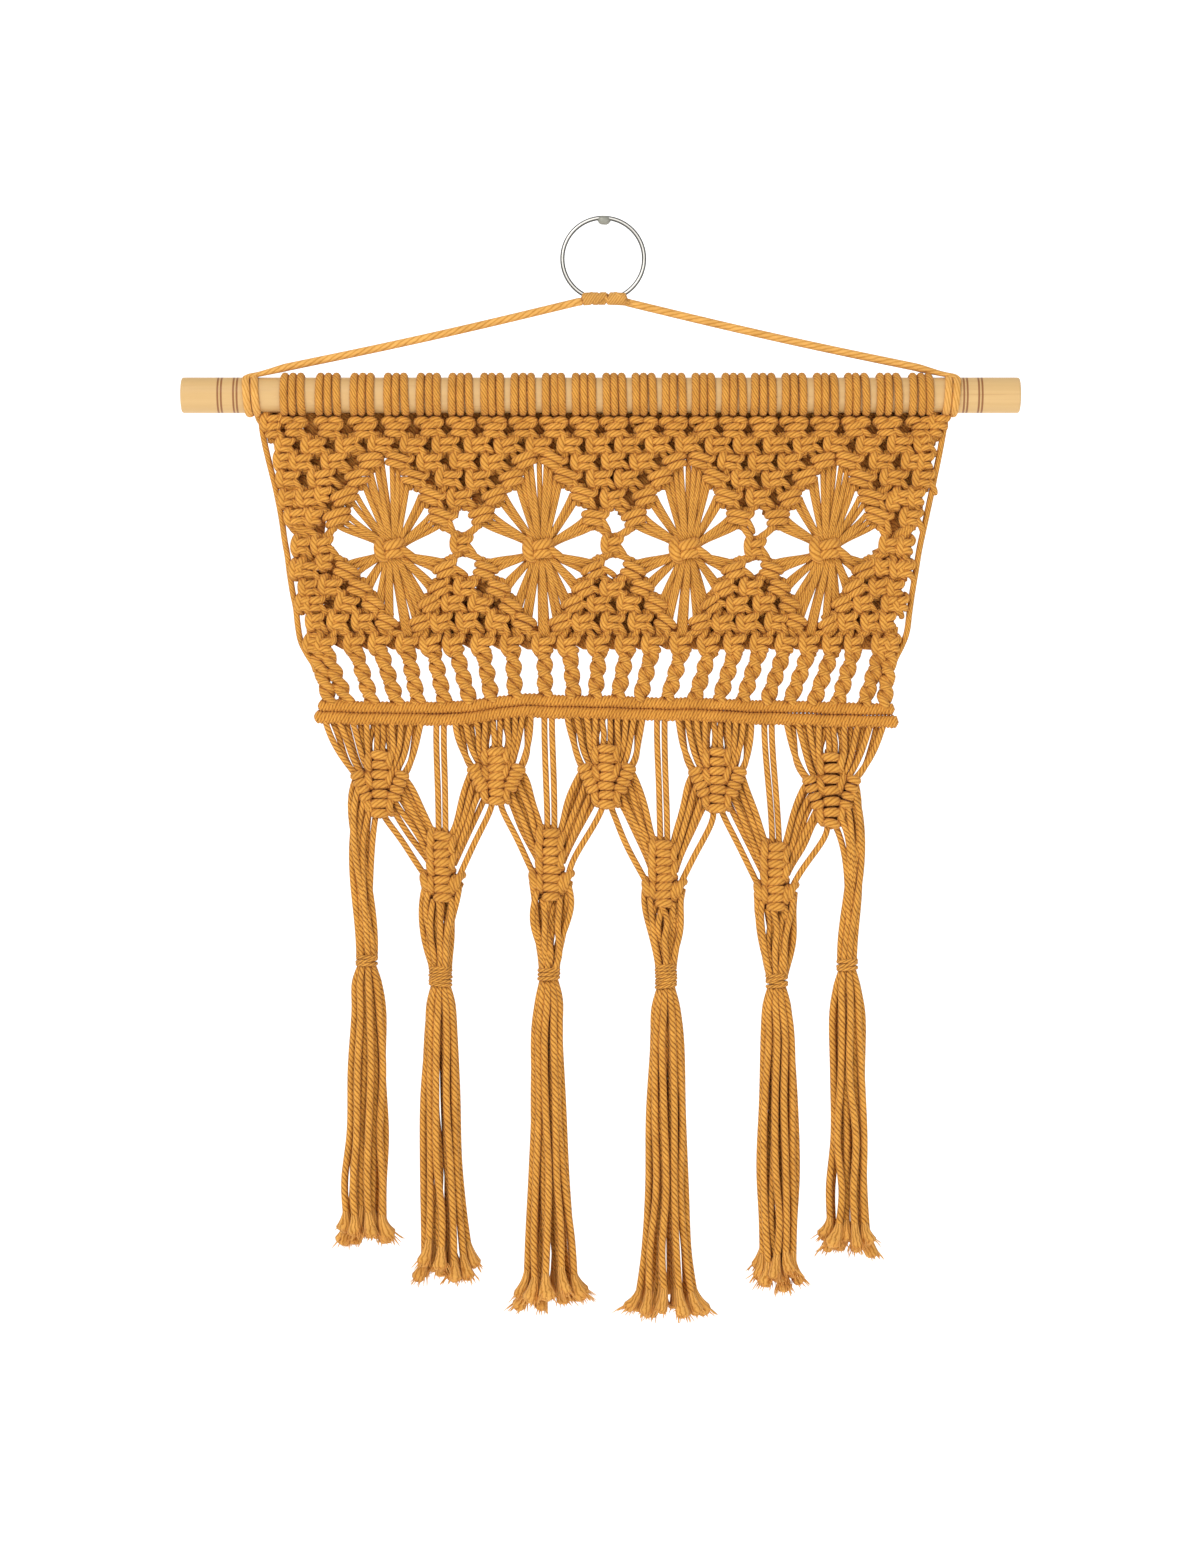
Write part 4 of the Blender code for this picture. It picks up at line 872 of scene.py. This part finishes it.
# a fat cord beside a column's rungs, as a knot's stretches are given
SIDE_CORD = ((.5, .7, 1.3), (.1, -.1, 1.1), (-.25, -.75, .6), (-.3, -.95, .0), (-.25, -.75, -.6),
             (.1, -.1, -1.0), (.5, .7, -1.2))
# fat cords beside a column's rungs: across, down and lean, in mm and degrees
UPPER_SIDES = ((-4.9, 5.0, 3), (4.7, 4.2, -10), (-4.6, 12.5, 16), (4.6, 12.0, -16), (-5.0, 22.6, 6),
               (5.0, 22.6, -6))
LOWER_SIDES = ((-4.7, 3.0, 4), (-5.0, 8.6, 10), (-4.9, 14.2, 10), (4.7, 5.6, -6), (4.9, 12.2, -12),
               (-7.6, 20.0, 18), (7.4, 20.4, -18), (-4.9, 21.0, 6), (4.8, 21.6, -6))
# half widths of the dark skin of painted shade behind a column, from its top to its foot
UPPER_SHADE, LOWER_SHADE = (3.0, 4, 8.5, 9, 7.5, 6, 4.5, 3), (3.0, 4, 4.5, 5, 6, 8.5, 8.5, 7)
# an upper column's flank: ribs along a line from high and outside to low and inside, from the column's top
FLANK_TOP, FLANK_FOOT, FLANK_RIBS = (11.0, -8.6), (5.8, -20.6), 4
# where an upper column takes in the eight strands of one side: across and down
TAKEN = np.array([(11.0, -9.6), (11.0, -9.6), (5.0, -12.2), (5.0, -12.2), (4.6, -8.8), (4.2, -5.6),
                  (4.2, -5.6), (3.4, -2.4)])
# strands that leave an upper column on one side: across, down, layer in depth and bow
LEAVING = np.array([(11.2, -11.2, 0.2, 0.5), (9.9, -12.6, 2.2, 0.42), (9.0, -15.2, 0.2, 0.4),
                    (7.4, -17.4, 2.2, 0.36), (6.2, -20.0, 0.2, 0.34), (4.6, -22.4, 2.2, 0.3),
                    (2.0, -27.0, 0.2, 0.06)])
# and where a lower column takes them in
ARRIVING = np.array([(4.2, -1.0), (4.8, -3.4), (5.0, -6.6), (5.2, -9.2), (5.2, -12.4), (5.4, -15.0),
                     (8.4, -19.4)])


def column(x, top, foot, rungs, sides, shade):
    """One column: its rungs, the fat cords at its sides, the path of the dark skin of painted shade behind it
    and its widths.
    """
    size, pitch = (top - foot) / UPPER_TALL, (top - foot) / rungs
    z = top - pitch * (np.arange(rungs) + 0.5)
    ladder = Knots(x + random.normal(0, 0.2, rungs), z, random.normal(1.42, 0.08, rungs), pitch / 3.3,
                   random.normal(0, np.radians(5), rungs))
    across, down, lean = np.array(sides).T
    beside = Knots(x + across, top - size * down, 0.55, 0.92 * size, np.radians(lean), 0.9)
    back_z = top - size * np.array([-1.0, 3, 8, 12, 16, 20, 24, 27.5])
    return ladder, beside, through([joined(x, 1.4, back_z)], 16), shade


def flank(x, top, size, side):
    """Middles and tilts of the wraps on one flank of a column, square to its slanting line."""
    share = (np.arange(FLANK_RIBS) + 0.5)[:, None] / FLANK_RIBS
    start, end = ((x + side * across, top + down * size) for across, down in (FLANK_TOP, FLANK_FOOT))
    rib_x, rib_z = (np.array(start) * (1 - share) + np.array(end) * share).T
    tilt = math.atan2(end[0] - start[0], start[1] - end[1])
    return joined(rib_x, -1.5, rib_z), np.full(FLANK_RIBS, tilt)


def wavy(paths, size):
    """Paths with a slow wave of their own added across and in depth, none at either end."""
    t = np.linspace(0, 1, paths.shape[1])[None, :, None]
    waves = random.normal(0, size, (3, len(paths), 1, 3)) * np.array([1.0, 0.8, 0.0])
    return (paths + waves[0] * np.sin(np.pi * t) + 0.6 * waves[1] * np.sin(2 * np.pi * t)
            + 0.3 * waves[2] * np.sin(3 * np.pi * t))


def two_rings(count):
    """Places in a bundle's cross-section: two thirds on a circle of radius 1, the rest on an inner one."""
    outer = count - count // 3
    k = np.arange(count)
    ring = np.where(k < outer, 1.0, 0.45)
    angle = TURN * np.where(k < outer, (k + 0.25) / outer, (k + 0.6) / (count - outer))
    return ring * np.cos(angle), ring * np.sin(angle)


def bundle_ends(tail, starts):
    """Points inside a tassel's head, one for each start, in the order that crosses least."""
    across, inward = two_rings(len(starts))
    radius = tail[3] / 2 - 1.5
    return match(starts, joined(tail[0] + radius * across, 0.85 * radius * inward, tail[1] - 2.0))


def match(starts, ends):
    """The ends in the order that joins each to a start without crossing: both sorted by X."""
    ordered = np.empty_like(ends)
    ordered[np.argsort(starts[:, 0], kind="stable")] = ends[np.argsort(ends[:, 0], kind="stable")]
    return ordered


def swag():
    """Strands under the bars, gathered into five upper and four lower columns and on to the tassels."""
    columns, strands, wraps, tilts = [], [], [], []
    pair_ways = np.array([-1, 1])

    def run(starts, start_ways, ends, end_ways, wave):
        strands.append(wavy(bowed(starts, start_ways, ends, end_ways, 18), wave))

    for x, top, foot, fed_from, fed_to in UPPER:
        size = (top - foot) / UPPER_TALL
        columns.append(column(x, top, foot, 7, UPPER_SIDES, UPPER_SHADE))
        for side, edge in ((-1, fed_from), (1, fed_to)):
            middles, tilt = flank(x, top, size, side)
            wraps.append(middles)
            tilts.append(tilt)
            feeds = np.linspace(edge - side * 1.6, x + side * 3.2, len(TAKEN))
            behind = np.arange(len(TAKEN)) % 2
            depth = np.where(behind, 1.9, -0.5)
            starts = joined(feeds, depth, bar_z(feeds, 2) - 1.2)
            ends = joined(x + side * (TAKEN[:, 0] + 0.6 * behind), depth - 0.2, top + TAKEN[:, 1] * size)
            lean = unit(ends - starts)
            run(starts, unit(lean + (0, 0, -0.4)), ends, unit(lean + (-0.5 * side, 0, -0.1)), 0.3)
        pair = x + 1.6 * pair_ways
        run(joined(pair, 0.8, bar_z(pair, 2) - 1.2), DOWN,
            joined(x + 1.4 * pair_ways, 0.0, top - 2.0), DOWN, 0.35)
    across, down, layer, bow = LEAVING.T
    for k, (x, top, foot, pair) in enumerate(LOWER):
        size = (top - foot) / LOWER_TALL
        columns.append(column(x, top, foot, 8, LOWER_SIDES, LOWER_SHADE))
        for side, (upper_x, upper_top, upper_foot, *_) in ((-1, UPPER[k]), (1, UPPER[k + 1])):
            upper_size = (upper_top - upper_foot) / UPPER_TALL
            run(joined(upper_x - side * across, layer, upper_top + down * upper_size),
                joined(-side * bow, 0.0, -0.45 - bow * 0.4),
                joined(x + side * ARRIVING[:, 0], layer, top + ARRIVING[:, 1] * size),
                (-0.35 * side, 0.0, -0.7), 0.5)
        run(joined(pair + 1.75 * pair_ways, 0.0, bar_z(pair, 2) - 1.2), DOWN,
            joined(x + 1.6 * pair_ways, 0.0, top - 2.0), DOWN, 0.1)
        angle = TURN * (np.arange(10) + 0.25) / 10
        outer = joined(x + 9.0 * np.cos(angle), 2.4 * np.sin(angle),
                       top - size * (LOWER_TALL - 9.0 * np.cos(angle) ** 2))
        inner = joined(x + np.linspace(-4, 4, 5), (-1.0, 1.0, -1.4, 1.2, -0.6), top - size * 31.0)
        starts = np.concatenate([outer, inner])
        run(starts, (0, 0, -0.9), bundle_ends(TASSELS[k + 1], starts), (0, 0, -0.9), 1.3)
    added = LEAVING[1:6] * (1, 1, -1.2, 1) - (0.8, 1.0, 0, 0)
    across, down, layer, bow = np.concatenate([LEAVING, added]).T
    for side, (x, top, foot, *_), tail in ((-1, UPPER[0], TASSELS[0]), (1, UPPER[-1], TASSELS[-1])):
        size = (top - foot) / UPPER_TALL
        starts = joined(x + side * across, layer, top + down * size)
        by_x = np.argsort(starts[:, 0])
        ends = np.roll(bundle_ends(tail, starts)[by_x], 4, axis=0)[np.argsort(by_x)]
        run(starts, joined(side * bow * 0.7, 0.0, -0.5 - bow * 0.4), ends, (0, 0, -0.9), 1.0)
    hooped = hoops(np.concatenate(wraps), np.concatenate(tilts), 1.5, 2.0, 0.0, 18)
    skins, backs = [cord_skin(hooped, 2.0)], []
    for ladder, beside, back, shade in columns:
        skins.append(stretches(ladder, "rung", thick=1.12, samples=14))
        skins.append(cord_skin(through(beside.put(SIDE_CORD), 12), 1.95))
        wide = blend_weights(8, 16) @ shade
        # painted shade: a dark skin in shaded cotton behind each column, closing the gaps between its cords
        backs.append(cord_skin(back, oval(1.5, wide[:, None], 12)[None], 12))
    piece("swag_strands", [cord_skin(np.concatenate(strands), CORD / 2 * 0.96)], STRAIGHT, ["swag"])
    piece("swag_columns", skins, COTTON, ["swag"])
    piece("swag_column_back_shade", backs, SHADED, ["swag"])


# ------------------------ tassels
FIBRES = 16                    # loose fibres at the end of each cord


def tassel(number, row):
    """A head of tight turns, long cords that hang from it, and the loose fibres of their ends."""
    x, top, foot, width, turns, cords, mid_x, mid_half, end_x, end_half, end = row
    name = "tassel_%d" % number
    pitch = (top - foot) / turns
    thick = pitch * 0.56
    girth = width / 2 - thick * 0.8
    middles = [(x + random.normal(0, 0.1), 0.0, foot + pitch * (n + 0.5)) for n in range(turns)]
    turned = hoops(middles, random.normal(0.05, 0.05, turns), girth, girth, 0.3, 30)
    core = joined(x, 0.0, np.linspace(top - 0.4, foot + 0.4, 6))[None]
    across, inward = (places[:, None] for places in two_rings(cords))
    own = np.random.default_rng(30 + number)
    low = (end + own.normal(0, 2.6, cords) + 12.0)[:, None]
    down = np.array([0.0, 0.08, 0.2, 0.42, 0.66, 0.86, 1.0])
    half = np.array([width / 2 - 2.4, mid_half * 0.56, mid_half * 0.68, mid_half - 2.0, mid_half - 1.6,
                     (mid_half + end_half) / 2 - 2.4, end_half - 4.2])
    centre = np.array([x, x, mid_x, mid_x, (mid_x + end_x) / 2, end_x, end_x])
    wave = own.normal(0, 0.42, (cords, 7)) * (0, 0.3, 1.2, 1.6, 2.0, 2.0, 1.2)
    paths = through(joined(centre + half * across + wave,
                           0.72 * half * inward + 0.6 * wave[:, ::-1] * np.linspace(0, 1, 7),
                           foot + 1.0 + (low - foot) * down), 34)
    swell = CORD / 2 * np.concatenate([np.linspace(0.85, 1.12, 6), np.full(28, 1.12)])
    tips, ways = paths[:, -2], unit(paths[:, -1] - paths[:, -5])
    share = np.linspace(0, 1, 9)[:, None]
    length = random.uniform(9.0, 13.0, (cords, 1, 1))
    bend = joined(0.3 * across + random.normal(0, 0.1, (cords, 1)), 0.2 * inward, 0.0)
    brushes = tips[:, None] + length * (share * ways[:, None] + share**2 * bend)
    widest = random.uniform(3.1, 4.5, (cords, 1, 1))
    pleats = 1 + share * random.uniform(-0.22, 0.22, (cords, 1, 12))
    flare = (1.6 + (widest - 1.6) * share**1.2) * pleats * np.where(share > 0.99, 0.72, 1.0)
    spin, away = random.uniform(0, TURN, (2, cords, FIBRES))
    spread = np.sqrt(away / TURN) * widest[:, :, 0]
    aside = joined(spread * np.cos(spin), spread * np.sin(spin), 0.0)
    root = brushes[:, -3][:, None] + 0.85 * aside
    tip = brushes[:, -1][:, None] + 1.3 * aside + random.normal(0, 0.35, aside.shape)
    tip = tip + unit(tip - root) * random.uniform(0.4, 3.2, (cords, FIBRES, 1))
    fibres = np.stack([root, 0.5 * (root + tip) + random.normal(0, 0.15, root.shape), tip], 2)
    fine = np.array([[0.32, 0.32, 0.3, 0.25, 0.12]])
    piece(name + "_cords", [cord_skin(turned, thick), cord_skin(core, width / 2 - 1.6, 16),
                            cord_skin(paths, swell[None])], STRAIGHT, [name])
    piece(name + "_brushed_ends", [cord_skin(brushes, flare, 12)], FRAYED, [name])
    piece(name + "_loose_fibres", [cord_skin(through(fibres.reshape(-1, 3, 3), 5), fine, 3)], LOOSE, [name])


# ------------------------ studio
def studio():
    """Pale floor swept up into a far backdrop, one soft key from the upper left, a weak fill."""
    scene = bpy.context.scene
    along = np.array([-4.0, -1.0, 2.0, 4.0, 5.0, 5.8, 6.3, 6.5, 6.55, 6.6])
    high = np.array([0.0, 0.0, 0.0, 0.0, 0.1, 0.45, 1.1, 2.2, 4.0, 7.0]) - 0.75
    points = joined(np.linspace(-8, 8, 5), along[:, None], high[:, None])
    index = np.arange(50).reshape(10, 5)
    faces = joined(index[:-1, :-1], index[:-1, 1:], index[1:, 1:], index[1:, :-1])
    mesh = bpy.data.meshes.new("pale_sweep")
    mesh.from_pydata(points.reshape(-1, 3).tolist(), [], faces.reshape(-1, 4).tolist())
    mesh.materials.append(pale_paper("pale_paper"))
    sweep = bpy.data.objects.new("pale_sweep", mesh)
    scene.collection.objects.link(sweep)
    scene.world = bpy.data.worlds.new("soft_white_room")
    scene.world.use_nodes = True
    light = scene.world.node_tree.nodes["Background"].inputs
    light["Color"].default_value = (*WHITE, 1.0)
    light["Strength"].default_value = 0.62
    for name, place, turn, size, power in (("key", (-1.1, -1.9, 1.2), (52, 0, -30), 1.1, 34.0),
                                           ("fill", (1.6, -2.2, -0.1), (86, 0, 36), 1.6, 9.0)):
        lamp = bpy.data.lights.new(name, "AREA")
        lamp.energy = power
        lamp.size = size
        item = bpy.data.objects.new(name, lamp)
        item.location = place
        item.rotation_euler = [math.radians(angle) for angle in turn]
        scene.collection.objects.link(item)
    lens = bpy.data.cameras.new("camera")
    lens.lens = 85.0
    eye = bpy.data.objects.new("camera", lens)
    eye.location = (-0.0015, -1.7028, -0.2583)
    eye.rotation_euler = (math.radians(90), 0.0, 0.0)
    scene.collection.objects.link(eye)
    scene.camera = eye
    scene.view_settings.view_transform = "Standard"


studio()
ring_wire()
rod_dowel()
hanger()
net_index, net_knots = net_pieces()
rod_loops()
stars(net_index, net_knots)
hangings(net_index, net_knots)
ribbed_bars()
swag()
for tassel_number, tassel_row in enumerate(TASSELS, start=1):
    tassel(tassel_number, tassel_row)
shade_crevices()
